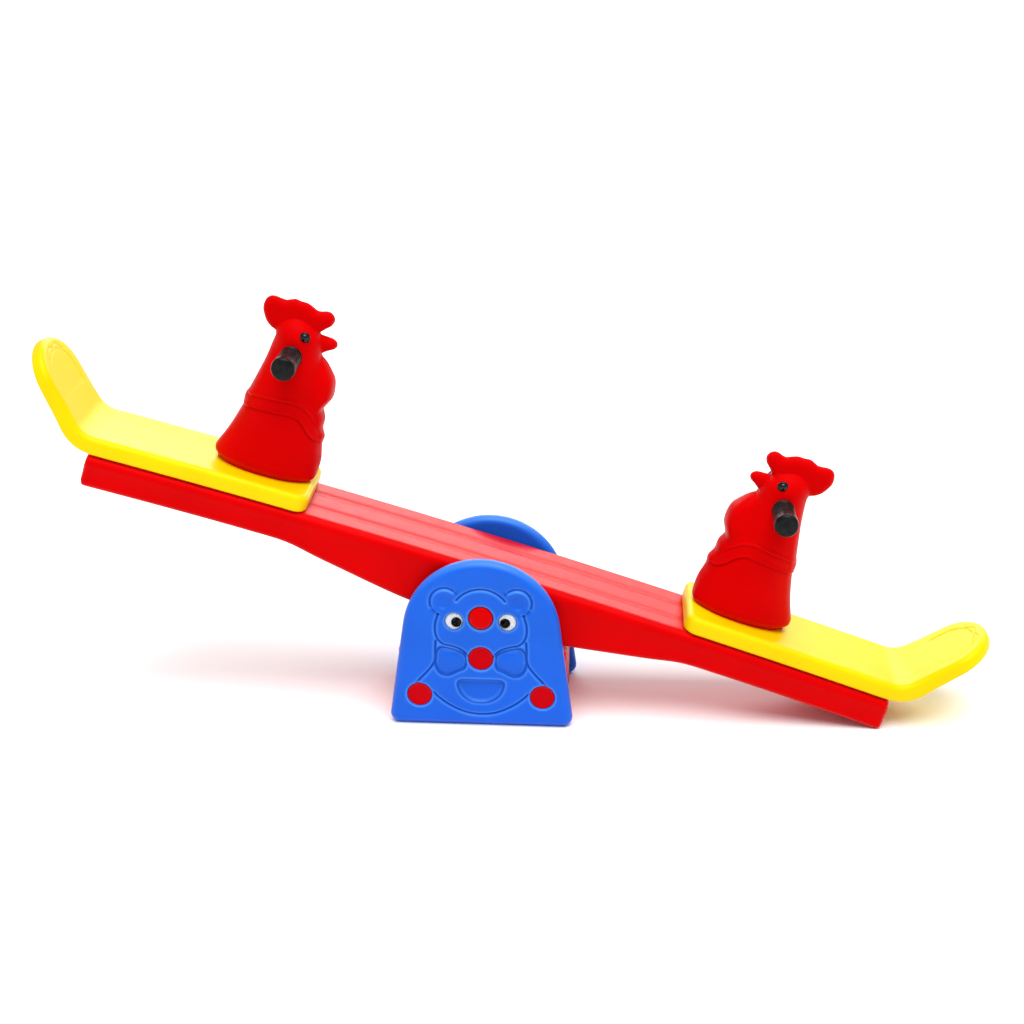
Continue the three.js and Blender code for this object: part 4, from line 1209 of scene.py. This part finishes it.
class SEESAW_OT_rooster_eyes(Operator):
    """Four black domed eyes on the roosters"""

    bl_idname = "seesaw.rooster_eyes"
    bl_label = "Rooster eyes"

    ROUND = 64
    # Profiles, radius and distance from the middle of the beam.
    PEG = [(0, 26), (3, 26), (3, 32.3), (10, 32.3)]
    RIM = [(8.4, 37.5), (9.4, 37.6), (10.2, 36.8), (10.4, 35.0), (10.0, 32.4)]
    DOME = [(0, 42.8), (3.0, 42.4), (5.6, 41.3), (7.4, 39.6), (8.2, 38.0)]

    def execute(self, context):
        profile = np.vstack([self.PEG, curved(self.RIM)[::-1], curved(self.DOME)[::-1]])
        verts, faces = turned(profile, self.ROUND)
        for side in SIDES:
            for end, way in ENDS.items():
                node = f"rooster_eye_{side}_{end}"
                x, _, z = middle(node)
                add_piece(f"bead_eye_{side}_{end}", facing(verts, way) + [x, 0, z], faces,
                          finish_of("eye_black"), "eye_black", "beam", [node])
        return {"FINISHED"}


class SEESAW_OT_hardware(Operator):
    """Finishes for the steel and nylon pieces"""

    bl_idname = "seesaw.hardware"
    bl_label = "Hardware finishes"

    NYLON = ("pivot_bush",)
    STEEL = ("pivot_axle", "axle_nut", "tie_bolt", "tie_nut", "steel_spine", "pivot_sleeve", "handlebar",
             "seat_bolt", "rooster_bolt")

    def execute(self, context):
        for kind, names in (("zinc_steel", self.STEEL), ("nylon", self.NYLON)):
            for node in [node for name, node in frame["nodes"].items() if name.startswith(names)]:
                node.data.materials.clear()
                node.data.materials.append(finish_of(kind))
        return {"FINISHED"}


# ------------------------------------------------------------------ sidebar
PIECES = (SEESAW_OT_stage, SEESAW_OT_panels, SEESAW_OT_core, SEESAW_OT_caps, SEESAW_OT_bear_eyes,
          SEESAW_OT_beam, SEESAW_OT_seats, SEESAW_OT_roosters, SEESAW_OT_grips, SEESAW_OT_rooster_eyes,
          SEESAW_OT_hardware)


class SEESAW_PT_sidebar(Panel):
    """Lists the seesaw's sizes, colours and pieces"""

    bl_idname = "SEESAW_PT_sidebar"
    bl_label = "Seesaw"
    bl_space_type = "VIEW_3D"
    bl_region_type = "UI"
    bl_category = "Seesaw"

    def draw(self, context):
        for group in (context.scene.seesaw_sizes, context.scene.seesaw_colours):
            for name in group.__annotations__:
                self.layout.prop(group, name)
        for piece in PIECES:
            self.layout.operator(piece.bl_idname)


CLASSES = (SeesawColours, SeesawSizes) + PIECES + (SEESAW_PT_sidebar,)


def register():
    for cls in CLASSES:
        bpy.utils.register_class(cls)
    bpy.types.Scene.seesaw_colours = PointerProperty(type=SeesawColours)
    bpy.types.Scene.seesaw_sizes = PointerProperty(type=SeesawSizes)


def unregister():
    del bpy.types.Scene.seesaw_sizes
    del bpy.types.Scene.seesaw_colours
    for cls in reversed(CLASSES):
        bpy.utils.unregister_class(cls)


def main():
    register()
    bpy.ops.seesaw.stage()
    bpy.ops.seesaw.panels()
    bpy.ops.seesaw.core()
    bpy.ops.seesaw.caps()
    bpy.ops.seesaw.bear_eyes()
    bpy.ops.seesaw.beam()
    bpy.ops.seesaw.seats()
    bpy.ops.seesaw.roosters()
    bpy.ops.seesaw.grips()
    bpy.ops.seesaw.rooster_eyes()
    bpy.ops.seesaw.hardware()


if __name__ == "__main__":
    main()
